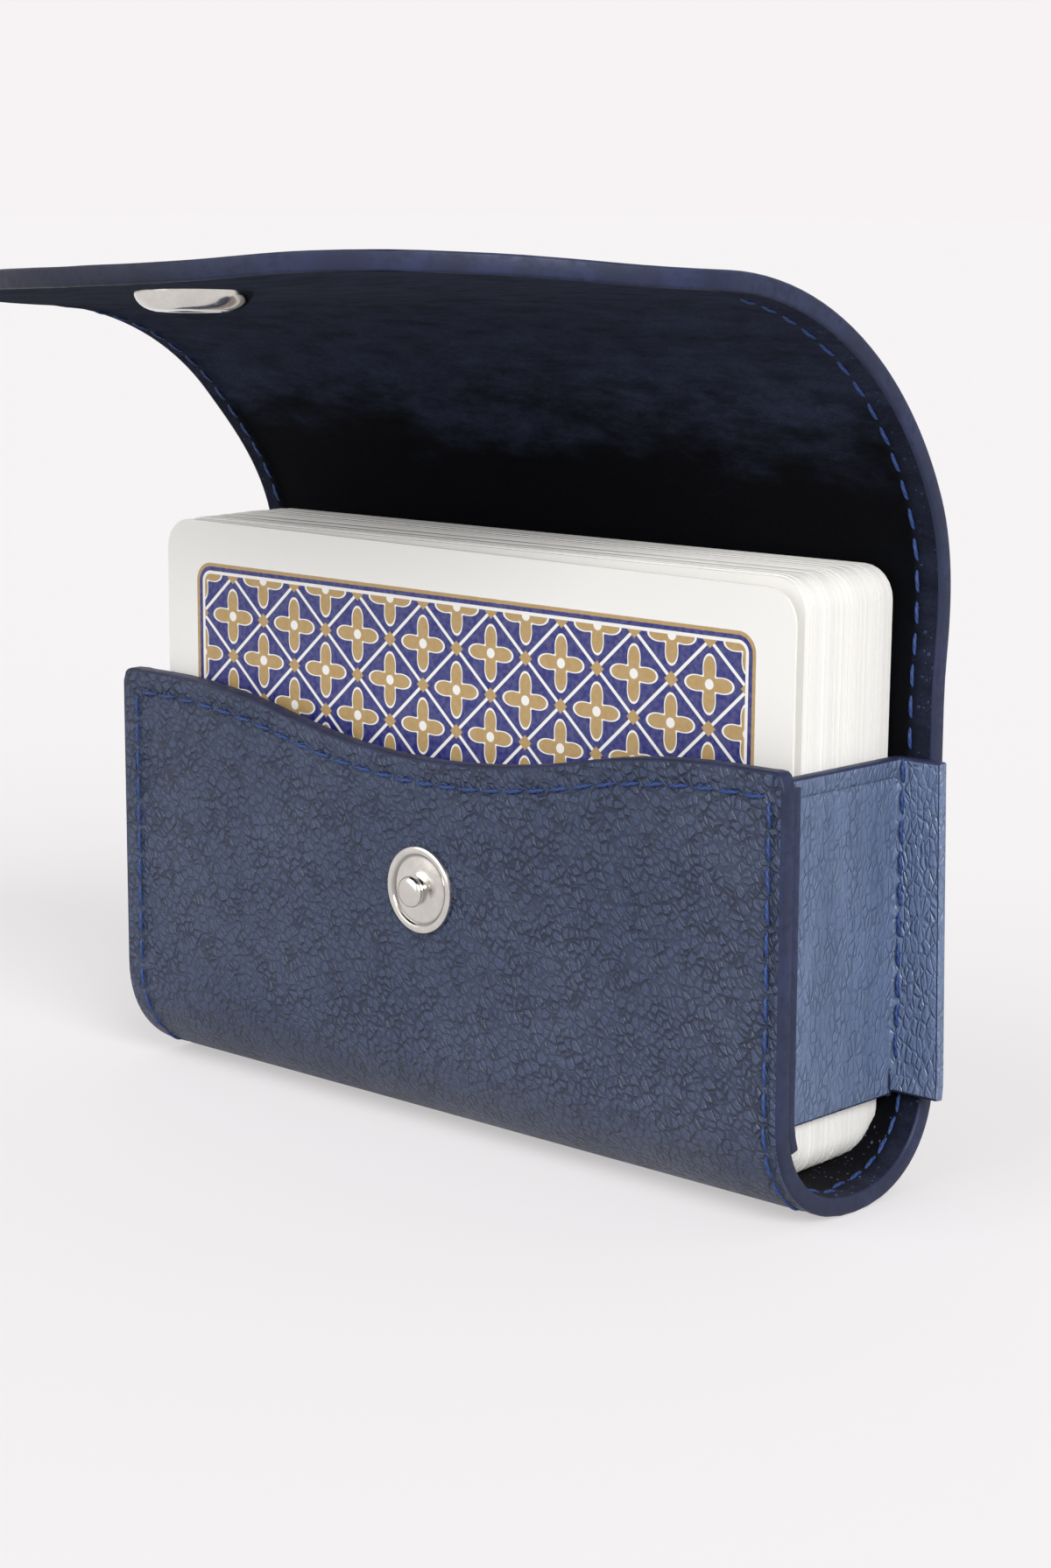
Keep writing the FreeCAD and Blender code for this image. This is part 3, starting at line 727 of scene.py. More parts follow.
# How a stitch slants, and how much that varies, in radians
STITCH_SLANT = math.radians(3)
SLANT_CHANGE = 0.02

# How far before the flap's flat the side seams end, and how low they still show beside the foot
SEAM_SHORT = 0.004
LOWEST_STITCH = 0.0011

# How far above the gusset's foot the stitches inside start to lie on it
ON_GUSSET_FROM = 0.0019


def one_stitch(thread):
    """One stitch along Y, arched over the leather with its ends sunk in."""
    only(None)
    bpy.ops.mesh.primitive_uv_sphere_add(
        segments=8, ring_count=7, radius=1, rotation=(math.pi / 2, 0, 0)
    )
    obj = bpy.context.object
    bpy.ops.object.transform_apply(location=True, rotation=True, scale=True)
    points = points_of(obj)
    long = (thread.pitch - thread.gap) / 2
    along = points[:, 1].copy()
    points[:, 0] *= thread.width / 2
    points[:, 1] *= long
    arch = thread.height * STITCH_ARCH * (1 - STITCH_SINK * along ** 4)
    points[:, 2] = points[:, 2] * thread.width * STITCH_FLATNESS + arch
    set_points(obj, points)
    return obj


def strip_lengths(strip):
    """Lengths of the outer face: front, front bend, foot and back bend."""
    quarter = strip.bend * math.acos(strip.foot / 2 / strip.bend)
    return [strip.front_top - strip.rise, quarter, strip.foot, quarter]


def strip_spot(strip, run, depth):
    """Place in YZ, direction and outward normal at a run down the front, round and up the back."""
    front, quarter, foot, _ = strip_lengths(strip)
    if run < front:
        spot, along = (-strip.bend, strip.front_top - run), (0, -1)
    elif run < front + quarter:
        turn = math.pi + (run - front) / strip.bend
        spot, along = bottom_spot(strip, strip.bend * math.cos(turn))
    elif run < front + quarter + foot:
        spot, along = bottom_spot(strip, run - front - quarter - foot / 2)
    elif run < front + quarter + foot + quarter:
        turn = (run - front - foot - 2 * quarter) / strip.bend
        spot, along = bottom_spot(strip, strip.bend * math.cos(turn))
    else:
        return flap_spot(strip, run - sum(strip_lengths(strip)) - strip.back_top + strip.rise, depth)
    out = (along[1], -along[0])
    return (spot[0] - out[0] * depth, spot[1] - out[1] * depth), along, out


def bottom_spot(strip, y):
    """Place and direction on the round bottom."""
    y = min(max(y, NEAR - strip.bend), strip.bend - NEAR)
    low, here, high = (float(bottom_height(strip, y + step)) for step in (-NEAR / 2, 0, NEAR / 2))
    along = Vector((NEAR, high - low)).normalized()
    return (y, here), tuple(along)


def flap_spot(strip, run, depth):
    """Place in YZ, direction and normal at a run past the top of the straight back."""
    middle = strip.flap_radius - strip.wall / 2
    turn = min(max(run / middle, 0), strip.flap_turn)
    straight = run - turn * middle
    out, along = (math.cos(turn), math.sin(turn)), (-math.sin(turn), math.cos(turn))
    radius = strip.flap_radius - depth
    across = strip.flap_y + radius * out[0] + straight * along[0]
    return (across, strip.back_top + radius * out[1] + straight * along[1]), along, out


class CASE_OT_seams(bpy.types.Operator):
    """Sew the side seams, the flap's edges and the front's top edge"""

    bl_idname = "card_case.seams"
    bl_label = "Stitching"

    def execute(self, context):
        strip, thread, gusset = get(context, "strip"), get(context, "thread"), get(context, "gusset")
        self.wobble = random.Random(11)
        pattern = one_stitch(thread)
        dress(pattern, thread_finish(context))
        groups = {name: [] for name in ("sewn_left", "sewn_right", "sewn_front")}
        groups.update({f"sewn_flap_{number}": [] for number in (1, 2, 3, 4)})
        for side in (-1, 1):
            self.sew_side(strip, thread, gusset, pattern, side, groups)
        self.sew_front(strip, thread, pattern, groups["sewn_front"])
        bpy.data.objects.remove(pattern)
        nodes = {"sewn_left": "seam_left", "sewn_right": "seam_right", "sewn_front": "seam_front_edge"}
        for name, copies in groups.items():
            seam = join(name, copies)
            set_points(seam, lean_out(strip, points_of(seam)))
            smooth(seam, degrees=70)
            join_bodies(seam, int(name[-1]) if name[-1].isdigit() else 0)
            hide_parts(nodes.get(name, f"flap_seam_{name[-1]}"))
        return {"FINISHED"}

    def sew_side(self, strip, thread, gusset, pattern, side, groups):
        """One side seam from the front's top edge to near the end of the flap's curve, on both faces."""
        top = sum(strip_lengths(strip)) + strip.back_top - strip.rise
        middle = strip.flap_radius - strip.wall / 2
        finish = top + strip.flap_turn * middle - SEAM_SHORT
        count = round((finish - thread.inset) / thread.pitch)
        step = (finish - thread.inset) / count
        case_group = groups["sewn_right" if side > 0 else "sewn_left"]
        for number in range(count):
            run = thread.inset + step * (number + 0.5)
            span = span_of((run - top) / middle) if run > top else 0
            group = groups[f"sewn_flap_{span}"] if span else case_group
            (y, z), along, out = strip_spot(strip, run, 0)
            inset = thread.front_inset if side > 0 and y < 0 and span == 0 else thread.inset
            across = side * (strip.half - inset)
            if z > LOWEST_STITCH or out[1] > -0.5:
                group.append(self.lay(pattern, (across, y, z), (0, *along), (0, *out)))
            depth = self.inner_depth(strip, thread, gusset, z)
            (y, z), along, out = strip_spot(strip, run, depth)
            if y > -strip.bend / 2 or z > strip.front_top:
                group.append(self.lay(pattern, (across, y, z), (0, *along), (0, -out[0], -out[1])))

    def inner_depth(self, strip, thread, gusset, z):
        """Depth of the face that a stitch shows on inside: gusset or lining."""
        low, high = gusset.foot + ON_GUSSET_FROM, gusset.top
        room = 0.6 * thread.pitch / 2
        if low + room < z < high - room:
            return strip.bend - gusset.face + gusset.gauge
        return strip.wall + strip.seam_dip * 0.8

    def sew_front(self, strip, thread, pattern, copies):
        """The row below the front's top edge."""
        start = thread.inset + thread.gap - strip.half
        reach = strip.half - thread.front_inset - thread.gap - start
        count = round(reach / thread.pitch)
        step = reach / count
        beside = 0.0005
        for number in range(count):
            x = start + step * (number + 0.5)
            slope = (thumb_drop(strip, x - beside) - thumb_drop(strip, x + beside)) / (2 * beside)
            spot = (x, -strip.bend, strip.front_top - thumb_drop(strip, x) - thread.edge_inset)
            copies.append(self.lay(pattern, spot, Vector((1, 0, slope)).normalized(), (0, -1, 0)))

    def lay(self, pattern, spot, along, out):
        """A copy of the stitch on a face, a little uneven as sewn by hand."""
        copy = copy_of(pattern)
        forward, up = Vector(along), Vector(out)
        turn = Matrix((forward.cross(up), forward, up)).transposed().to_4x4()
        slant = Matrix.Rotation(STITCH_SLANT + self.wobble.gauss(0, SLANT_CHANGE), 4, "Z")
        copy.data.transform(Matrix.Translation(spot) @ turn @ slant)
        return copy


# How far the lower ends of the cards stay above the lining, and the lowest that they come
CARD_CLEAR = 0.0004
LOWEST_CARD = 0.0028

# How unevenly the cards are squared up, to the side and in height, and how high up they start to lean
CARD_SLIP = 0.000035
CARD_RISE = 0.00006
LEAN_STARTS = 0.012


def one_card(cards):
    """One card standing on its long edge at the origin, with its printed back to the front."""
    only(None)
    bpy.ops.mesh.primitive_plane_add(size=1, location=(0, 0, 0), rotation=(math.pi / 2, 0, 0))
    obj = bpy.context.object
    obj.scale = (cards.long, cards.high, 1)
    bpy.ops.object.transform_apply(location=True, rotation=True, scale=True)
    bpy.ops.object.mode_set(mode="EDIT")
    bpy.ops.mesh.select_all(action="SELECT")
    bpy.ops.mesh.bevel(offset=cards.corner, segments=6, affect="VERTICES", offset_type="OFFSET")
    bpy.ops.mesh.select_all(action="SELECT")
    bpy.ops.mesh.extrude_region_move(TRANSFORM_OT_translate={"value": (0, cards.gauge, 0)})
    bpy.ops.mesh.select_all(action="SELECT")
    bpy.ops.mesh.normals_make_consistent(inside=False)
    leave_edit()
    points = points_of(obj)
    points[:, 2] += cards.high / 2
    points[:, 1] -= cards.gauge / 2
    set_points(obj, points)
    mesh = obj.data
    layer = mesh.uv_layers.active or mesh.uv_layers.new(name="print")
    for loop in mesh.loops:
        spot = mesh.vertices[loop.vertex_index].co
        layer.data[loop.index].uv = (spot.x / cards.long + 0.5, spot.z / cards.high)
    for face in mesh.polygons:
        face.material_index = 1 if face.normal.y < -0.5 else 0
    return obj


class CASE_OT_deck(bpy.types.Operator):
    """Stand the deck and the loose card in the case"""

    bl_idname = "card_case.deck"
    bl_label = "Cards"

    def execute(self, context):
        strip, cards = get(context, "strip"), get(context, "cards")
        pattern = one_card(cards)
        dress(pattern, stock_finish(context), print_finish(context))
        pattern.data.attributes.new("tone", "FLOAT", "POINT")
        front = copy_of(pattern)
        self.tone(front, 1.0)
        front.data.transform(
            Matrix.Translation((0, cards.front_y, cards.front_seat))
            @ Matrix.Rotation(cards.yaw, 4, "Z")
            @ Matrix.Rotation(cards.front_roll, 4, "Y")
            @ Matrix.Rotation(cards.front_lean, 4, "X")
        )
        front.name = "loose_card"
        deck = self.stack(strip, cards, pattern)
        bpy.data.objects.remove(pattern)
        for piece, node in ((front, "front_card"), (deck, "playing_cards")):
            smooth(piece)
            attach(piece, "case")
            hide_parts(node)
        return {"FINISHED"}

    def tone(self, card, value):
        """Each card's own shade."""
        layer = card.data.attributes["tone"].data
        layer.foreach_set("value", np.full(len(layer), value, dtype=np.float32))

    def stack(self, strip, cards, pattern):
        """The deck, squared up by hand, its lower ends following the round bottom."""
        chance = random.Random(5)
        made = []
        inner = strip.bend - strip.wall
        for number in range(cards.count):
            away = (number - (cards.count - 1) / 2) * cards.pitch
            card = copy_of(pattern)
            self.tone(card, chance.uniform(0.0, 1.0))
            points = points_of(card)
            floor = strip.rise - math.sqrt(inner ** 2 - away ** 2)
            lower = cards.seat - max(floor + CARD_CLEAR, LOWEST_CARD)
            lower_end = points[:, 2] < cards.corner * 1.01
            points[:, 2] -= np.where(lower_end, lower, 0)
            points[:, 0] += chance.gauss(0, CARD_SLIP)
            upper = points[:, 2] > cards.high / 2
            points[:, 2] += cards.seat + np.where(upper, chance.gauss(0, CARD_RISE), 0)
            points[:, 1] += away + np.maximum(points[:, 2] - LEAN_STARTS, 0) * math.tan(cards.deck_lean)
            points[:, 0] += cards.deck_shift
            set_points(card, points)
            card.data.transform(Matrix.Rotation(cards.yaw, 4, "Z"))
            made.append(card)
        return join("deck", made)


def turned(name, profile, steps=56):
    """Piece turned about Z from a profile of radius and height in millimetres."""
    only(None)
    bpy.ops.mesh.primitive_plane_add(size=0.001, location=(0, 0, 0))
    obj = bpy.context.object
    obj.name = name
    bpy.ops.object.mode_set(mode="EDIT")
    bpy.ops.mesh.select_all(action="SELECT")
    bpy.ops.mesh.merge(type="CENTER")
    bpy.context.tool_settings.mesh_select_mode = (True, False, False)
    bpy.ops.mesh.select_all(action="SELECT")
    at = (0.0, 0.0)
    for number, corner in enumerate(profile):
        radius, height = (value / 1000 for value in corner)
        step = (radius - at[0], 0, height - at[1])
        if number == 0:
            bpy.ops.transform.translate(value=step)
        else:
            bpy.ops.mesh.extrude_region_move(TRANSFORM_OT_translate={"value": step})
        at = (radius, height)
    bpy.ops.mesh.select_all(action="SELECT")
    bpy.ops.mesh.spin(steps=steps, angle=2 * math.pi, center=(0, 0, 0), axis=(0, 0, 1))
    bpy.ops.mesh.select_all(action="SELECT")
    bpy.ops.mesh.remove_doubles(threshold=NEARER)
    bpy.ops.mesh.normals_make_consistent(inside=False)
    leave_edit()
    return obj


# Profiles of radius and height above the leather in millimetres, from the foot that is sunk in it
STUD = (
    (0, -0.3), (4.6, -0.3), (4.75, 0), (4.75, 0.4), (4.68, 0.56), (4.5, 0.65), (4.2, 0.66),
    (3.98, 0.6), (3.85, 0.42), (3.72, 0.33), (3.5, 0.36), (3.1, 0.43), (2.5, 0.5), (2.0, 0.57),
    (1.65, 0.66), (1.42, 0.8), (1.32, 1.0), (1.36, 1.16), (1.52, 1.28), (1.68, 1.44),
    (1.72, 1.7), (1.66, 1.95), (1.48, 2.14), (1.2, 2.24), (0.8, 2.28), (0, 2.29),
)
SOCKET = (
    (0, -0.2), (5.6, -0.2), (5.75, 0), (5.75, 0.25), (5.68, 0.55), (5.5, 0.9), (5.2, 1.25),
    (4.75, 1.58), (4.2, 1.82), (3.6, 1.96), (3.0, 2.0), (2.8, 1.99), (2.6, 1.93), (2.4, 1.83),
    (2.26, 1.74), (2.28, 1.66), (2.5, 1.62), (2.8, 1.6), (2.9, 1.4), (2.9, 0.5), (2.75, 0.36),
    (0, 0.35),
)
CAP = (
    (0, -0.2), (5.9, -0.2), (6.0, 0), (6.0, 0.2), (5.93, 0.33), (5.75, 0.43), (5.4, 0.52),
    (4.8, 0.61), (4.0, 0.7), (2.8, 0.79), (1.4, 0.84), (0, 0.85),
)

# Radius and width in millimetres of the rings of painted shade on the stud, and the heights of its neck
GROOVE_RING = (3.78, 0.16)
NECK_RING = (1.36, 0.14)
NECK_HEIGHTS = (0.6, 1.5)


class CASE_OT_snap(bpy.types.Operator):
    """Turn the press stud, its socket and the cap outside the flap"""

    bl_idname = "card_case.snap"
    bl_label = "Press stud"

    def execute(self, context):
        strip, snap = get(context, "strip"), get(context, "snap")
        nickel = nickel_finish(context)
        stud = turned("stud", STUD)
        self.tarnish(stud)
        stud.data.transform(self.stand((0, -strip.bend, snap.stud_z), (0, -1, 0)))
        end = strip.flap_turn
        out = Vector((0, math.cos(end), math.sin(end)))
        run = Vector((0, -math.sin(end), math.cos(end))) * snap.socket_run
        middle = Vector((0, strip.flap_y, strip.back_top)) + run
        socket = turned("socket", SOCKET)
        socket.data.transform(self.stand(middle + out * (strip.flap_radius - strip.wall), -out))
        cap = turned("cap", CAP)
        cap.data.transform(self.stand(middle + out * strip.flap_radius, out))
        for piece in (socket, cap):
            set_points(piece, lean_out(strip, points_of(piece)))
        rows = ((stud, "case", "snap_stud"), (socket, "flap_4", "snap_socket"), (cap, "flap_4", "snap_cap"))
        for piece, body, node in rows:
            dress(piece, nickel)
            smooth(piece, degrees=30)
            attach(piece, body)
            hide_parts(node)
        for node in ("stud_rivet", "socket_spring"):
            dress(frame["nodes"][node], nickel)
        return {"FINISHED"}

    def tarnish(self, stud):
        """Painted shade and dark reflection in the groove of the rim and round the neck."""
        points = points_of(stud) * 1000
        far, height = np.hypot(points[:, 0], points[:, 1]), points[:, 2]
        groove, neck = (
            np.exp(-((far - radius) / width) ** 2) for radius, width in (GROOVE_RING, NECK_RING)
        )
        neck *= (height > NECK_HEIGHTS[0]) * (height < NECK_HEIGHTS[1])
        # This value marks painted shade and dark reflection in the groove and round the neck.
        layer = stud.data.attributes.new("tarnish", "FLOAT", "POINT").data
        layer.foreach_set("value", np.clip(groove + neck, 0, 1).astype(np.float32))

    def stand(self, spot, axis):
        """Turn a piece's Z to an axis and put it at a spot."""
        turn = Vector(axis).to_track_quat("Z", "Y").to_matrix().to_4x4()
        return Matrix.Translation(spot) @ turn


def made_once(name):
    """Decorator for a finish: it is made at its first use, and shared after that."""
    def wrap(maker):
        def ready(context):
            found = bpy.data.materials.get(name)
            if found:
                return found
            finish = bpy.data.materials.new(name)
            finish.use_nodes = True
            tree = finish.node_tree
            spots = tree.nodes.new("ShaderNodeTexCoord").outputs["Object"]
            maker(context, tree, tree.nodes["Principled BSDF"], spots)
            return finish
        return ready
    return wrap


def plug(tree, node, values):
    """Set a node's sockets, or link those whose value is a socket."""
    for name, value in values.items():
        if isinstance(value, bpy.types.NodeSocket):
            tree.links.new(value, node.inputs[name])
        else:
            node.inputs[name].default_value = value


def add(tree, kind, values=None, **settings):
    """New node with its settings, and its sockets set or linked."""
    made = tree.nodes.new(kind)
    for name, value in settings.items():
        setattr(made, name, value)
    plug(tree, made, values or {})
    return made


def calc(tree, operation, first, second=0.0, third=0.0):
    """Sum on sockets or numbers."""
    values = dict(enumerate((first, second, third)))
    return add(tree, "ShaderNodeMath", values, operation=operation).outputs[0]


def times(tree, first, second):
    """Product of sockets or numbers."""
    return calc(tree, "MULTIPLY", first, second)


def rise(tree, value, low, high, start=0.0, finish=1.0):
    """Smooth change from start to finish as a value goes from low to high."""
    made = add(
        tree, "ShaderNodeMapRange",
        {"Value": value, "From Min": low, "From Max": high, "To Min": start, "To Max": finish},
        interpolation_type="SMOOTHSTEP",
    )
    return made.outputs["Result"]


def fall(tree, value, low, high):
    """Smooth change from 1 to 0 as a value goes from low to high."""
    return rise(tree, value, low, high, 1.0, 0.0)


def mix(tree, share, first, second):
    """Colour between two colours, through the node's sockets for colours."""
    tones = [tone if isinstance(tone, bpy.types.NodeSocket) else tuple(tone) for tone in (first, second)]
    made = add(tree, "ShaderNodeMix", data_type="RGBA")
    plug(tree, made, {0: share, 6: tones[0], 7: tones[1]})
    return made.outputs[2]


def shaded(tone, factor, lift=0.0):
    """A colour made darker or paler."""
    return tuple(min(channel * factor + lift, 1.0) for channel in tone[:3]) + (1.0,)


def clouds(tree, spots, scale, detail=3.0, roughness=0.5):
    """Soft random pattern."""
    values = {"Vector": spots, "Scale": scale, "Detail": detail, "Roughness": roughness}
    return add(tree, "ShaderNodeTexNoise", values).outputs["Fac"]


def cell_edges(tree, spots, scale):
    """Distance to the nearest edge in a net of random cells."""
    values = {"Vector": spots, "Scale": scale}
    return add(tree, "ShaderNodeTexVoronoi", values, feature="DISTANCE_TO_EDGE").outputs["Distance"]


def axes(tree, spots):
    """Coordinates one by one."""
    return add(tree, "ShaderNodeSeparateXYZ", {"Vector": spots}).outputs


def stretch(tree, spots, scale):
    """Coordinates stretched along the axes."""
    return add(tree, "ShaderNodeMapping", {"Vector": spots, "Scale": scale}).outputs["Vector"]


def slant(tree, spots, degrees, scale):
    """Coordinates turned about Y and then stretched."""
    values = {"Vector": spots, "Rotation": (0.0, math.radians(degrees), 0.0)}
    return stretch(tree, add(tree, "ShaderNodeMapping", values).outputs["Vector"], scale)


def shift(tree, operation, values):
    """Sum on coordinates."""
    return add(tree, "ShaderNodeVectorMath", values, operation=operation).outputs[0]


def wander(tree, spots, scale, amount):
    """Coordinates pushed about by a random pattern, so that cells aren't regular."""
    values = {"Vector": spots, "Scale": scale, "Detail": 2.0}
    push = add(tree, "ShaderNodeTexNoise", values).outputs["Color"]
    centred = shift(tree, "SUBTRACT", {0: push, 1: (0.5, 0.5, 0.5)})
    sized = shift(tree, "SCALE", {0: centred, "Scale": amount})
    return shift(tree, "ADD", {0: spots, 1: sized})


def raise_surface(tree, shader, height, distance, strength=1.0):
    """Bump from a height."""
    bump = add(tree, "ShaderNodeBump", {"Height": height, "Distance": distance, "Strength": strength})
    tree.links.new(bump.outputs["Normal"], shader.inputs["Normal"])


def grain(tree, spots, scale, broken):
    """Grain of leather: a broken net of creases, slow swells between them, and pores."""
    pushed = wander(tree, spots, scale * 0.5, 0.7 / scale)
    edge = cell_edges(tree, pushed, scale)
    small = cell_edges(tree, pushed, scale * 2.1)
    here = rise(tree, clouds(tree, spots, scale * 0.42, 2.0), 0.4, 0.62, broken, 1.0)
    crease = times(tree, fall(tree, edge, 0.0, 0.22), here)
    wrinkle = times(tree, fall(tree, small, 0.0, 0.24), 0.2)
    deep = calc(tree, "MAXIMUM", crease, wrinkle)
    swell = clouds(tree, spots, scale * 0.75, 2.0)
    pores = clouds(tree, spots, scale * 6, 2.0)
    height = calc(tree, "MULTIPLY_ADD", deep, -0.8, times(tree, swell, 0.36))
    return calc(tree, "MULTIPLY_ADD", pores, 0.06, height), deep


@made_once("pebbled_leather")
def leather_finish(context, tree, shader, spots):
    """Pebbled navy leather, rubbed lighter on its crowns, with painted shade in the creases between the
    pebbles.
    """
    shades = get(context, "finish")
    height, deep = grain(tree, slant(tree, spots, 38.0, (1.0, 1.0, 0.78)), 1150.0, 0.6)
    patches = clouds(tree, spots, 42.0, 4.0, 0.55)
    body = mix(tree, rise(tree, patches, 0.3, 0.75), shades.leather, shades.leather_light)
    plug(tree, shader, {
        # Painted shade: the creases between the pebbles are darkened.
        "Base Color": mix(tree, times(tree, deep, 0.8), body, shades.crease_shade),
        "Roughness": rise(tree, patches, 0.3, 0.75, 0.5, 0.4),
        "Specular IOR Level": 0.42,
    })
    raise_surface(tree, shader, height, 0.00034)


@made_once("gusset_leather")
def gusset_finish(context, tree, shader, spots):
    """Thinner leather of the ends with streaks down it and painted shade in its creases, shinier on its
    flanges and painted paler there as painted light.
    """
    shades = get(context, "finish")
    height, deep = grain(tree, stretch(tree, spots, (1.0, 1.0, 0.5)), 1350.0, 0.5)
    streaks = clouds(tree, stretch(tree, spots, (1.0, 1.0, 0.12)), 420.0, 4.0, 0.6)
    body = mix(tree, rise(tree, streaks, 0.2, 0.8, 0.45, 1.0), shades.leather, shades.gusset)
    # Painted shade: the creases between the pebbles are darkened.
    crease_shaded = mix(tree, times(tree, deep, 0.34), body, shades.crease_shade)
    # The flanges are shinier, and their colour is painted paler as painted light on them.
    flange_gloss_and_light = rise(tree, calc(tree, "ABSOLUTE", axes(tree, spots)["X"]), 0.0452, 0.0466)
    gloss = rise(tree, streaks, 0.3, 0.7, 0.5, 0.36)
    plug(tree, shader, {
        "Base Color": mix(tree, times(tree, flange_gloss_and_light, 0.4), crease_shaded, shaded(shades.gusset, 1.5)),
        "Roughness": calc(tree, "MULTIPLY_ADD", flange_gloss_and_light, -0.16, gloss),
        "Specular IOR Level": 0.5,
    })
    raise_surface(tree, shader, height, calc(tree, "MULTIPLY_ADD", flange_gloss_and_light, 0.00016, 0.00016), 0.85)


@made_once("edge_paint")
def edge_finish(context, tree, shader, spots):
    """Painted and burnished edges, with painted shade darkening them at the left of the flap's tip."""
    shades = get(context, "finish")
    layers = clouds(tree, spots, 900.0, 4.0, 0.65)
    patches = clouds(tree, spots, 160.0, 2.0)
    dark = shaded(shades.edge, 0.62)
    tone = mix(tree, rise(tree, patches, 0.35, 0.65), dark, shades.edge)
    painted = mix(tree, rise(tree, layers, 0.3, 0.55), dark, tone)
    place = axes(tree, spots)
    # Painted shade: the edges are darker at the left of the flap's tip.
    tip = times(tree, fall(tree, place["Y"], -0.05, -0.038), fall(tree, place["X"], 0.004, 0.03))
    plug(tree, shader, {
        "Base Color": mix(tree, times(tree, tip, 0.85), painted, shaded(shades.edge, 0.3)),
        "Roughness": rise(tree, layers, 0.3, 0.7, 0.56, 0.42),
        "Specular IOR Level": 0.3,
    })
    raise_surface(tree, shader, layers, 0.00006, 0.6)


@made_once("suede_lining")
def suede_finish(context, tree, shader, spots):
    """Dark napped lining, paler towards the flap's tip as painted light on its nap there, with lint low in
    the case.
    """
    shades = get(context, "finish")
    nap = clouds(tree, spots, 4200.0, 4.0, 0.75)
    soft = clouds(tree, stretch(tree, spots, (0.55, 1.0, 1.0)), 75.0, 5.0, 0.6)
    brushed = clouds(tree, stretch(tree, spots, (0.4, 1.0, 1.0)), 420.0, 6.0, 0.72)
    place = axes(tree, spots)
    wavy = calc(tree, "MULTIPLY_ADD", soft, 0.026, place["Z"])
    wavy = calc(tree, "MULTIPLY_ADD", brushed, 0.008, wavy)
    # Painted light: the lining is paler high up towards the flap's tip, where its nap catches the light.
    painted_light_on_nap = rise(tree, wavy, 0.0885, 0.1)
    low = fall(tree, place["Z"], 0.012, 0.03)
    rough = rise(tree, calc(tree, "ABSOLUTE", place["X"]), 0.0455, 0.0478)
    pale_share = calc(tree, "MAXIMUM", painted_light_on_nap, times(tree, rough, 0.6))
    pale_share = times(tree, pale_share, rise(tree, brushed, 0.25, 0.7, 0.35, 1.0))
    pale_share = times(tree, pale_share, rise(tree, nap, 0.3, 0.65, 0.55, 1.0))
    body = mix(tree, pale_share, shades.suede, shades.suede_light)
    values = {"Vector": wander(tree, spots, 900.0, 0.0008), "Scale": 1500.0}
    specks = add(tree, "ShaderNodeTexVoronoi", values).outputs["Distance"]
    lint = times(tree, fall(tree, specks, 0.1, 0.26), rise(tree, brushed, 0.46, 0.56))
    lint = times(tree, lint, calc(tree, "MAXIMUM", low, times(tree, rough, 0.5)))
    pale = shaded(shades.suede_light, 4.5, 0.02)
    plug(tree, shader, {
        "Base Color": mix(tree, times(tree, lint, 0.6), body, pale),
        "Roughness": 0.95,
        "Specular IOR Level": 0.05,
        "Sheen Weight": 0.03,
        "Sheen Roughness": 0.5,
    })
    raise_surface(tree, shader, nap, 0.00018, 0.7)


@made_once("waxed_thread")
def thread_finish(context, tree, shader, spots):
    """Waxed thread laid up from twisted strands, with painted shade in the grooves between them."""
    shades = get(context, "finish")
    chart = axes(tree, add(tree, "ShaderNodeUVMap").outputs["UV"])
    turn = calc(tree, "MULTIPLY_ADD", chart["X"], 2.0, times(tree, chart["Y"], 4.0))
    wave = calc(tree, "SINE", times(tree, turn, 2 * math.pi))
    strand = rise(tree, wave, -1.0, 1.0)
    fibre = clouds(tree, spots, 4000.0, 2.0)
    share = calc(tree, "MULTIPLY_ADD", strand, 0.7, times(tree, fibre, 0.3))
    plug(tree, shader, {
        # Painted shade: darker between the strands, where the bump's grooves lie.
        "Base Color": mix(tree, share, shaded(shades.thread, 0.45), shades.thread),
        "Roughness": rise(tree, fibre, 0.3, 0.7, 0.62, 0.48),
    })
    raise_surface(tree, shader, strand, 0.00006, 0.8)


@made_once("polished_nickel")
def nickel_finish(context, tree, shader, spots):
    """Polished nickel plate with faint handling marks, painted darker in its groove and round its neck as
    shade and dark reflection.
    """
    shades = get(context, "finish")
    haze = clouds(tree, spots, 700.0, 4.0, 0.6)
    marks = clouds(tree, stretch(tree, spots, (1.0, 1.0, 9.0)), 2600.0, 2.0, 0.6)
    # Painted shade and dark reflection darken the plate in the stud's groove and round its neck.
    recess = add(tree, "ShaderNodeAttribute", attribute_name="tarnish").outputs["Fac"]
    plate = mix(tree, rise(tree, haze, 0.35, 0.7), shaded(shades.nickel, 0.9), shades.nickel)
    plug(tree, shader, {
        "Base Color": mix(tree, times(tree, recess, 0.85), plate, shaded(shades.nickel, 0.3)),
        "Metallic": 1.0,
        "Roughness": rise(tree, haze, 0.3, 0.75, 0.09, 0.18),
    })
    raise_surface(tree, shader, marks, 0.00001, 0.4)


@made_once("card_stock")
def stock_finish(context, tree, shader, spots):
    """Card stock: pale cut edges, each card a little different."""
    shades = get(context, "finish")
    tone = add(tree, "ShaderNodeAttribute", attribute_name="tone").outputs["Fac"]
    fibre = clouds(tree, spots, 2400.0, 3.0)
    dark = shaded(shades.stock, 0.93)
    each = mix(tree, rise(tree, tone, 0.0, 1.0), dark, shades.stock)
    plug(tree, shader, {
        "Base Color": mix(tree, rise(tree, fibre, 0.3, 0.6, 0.16, 0.0), each, dark),
        "Roughness": 0.55,
    })
    raise_surface(tree, shader, fibre, 0.00002, 0.3)


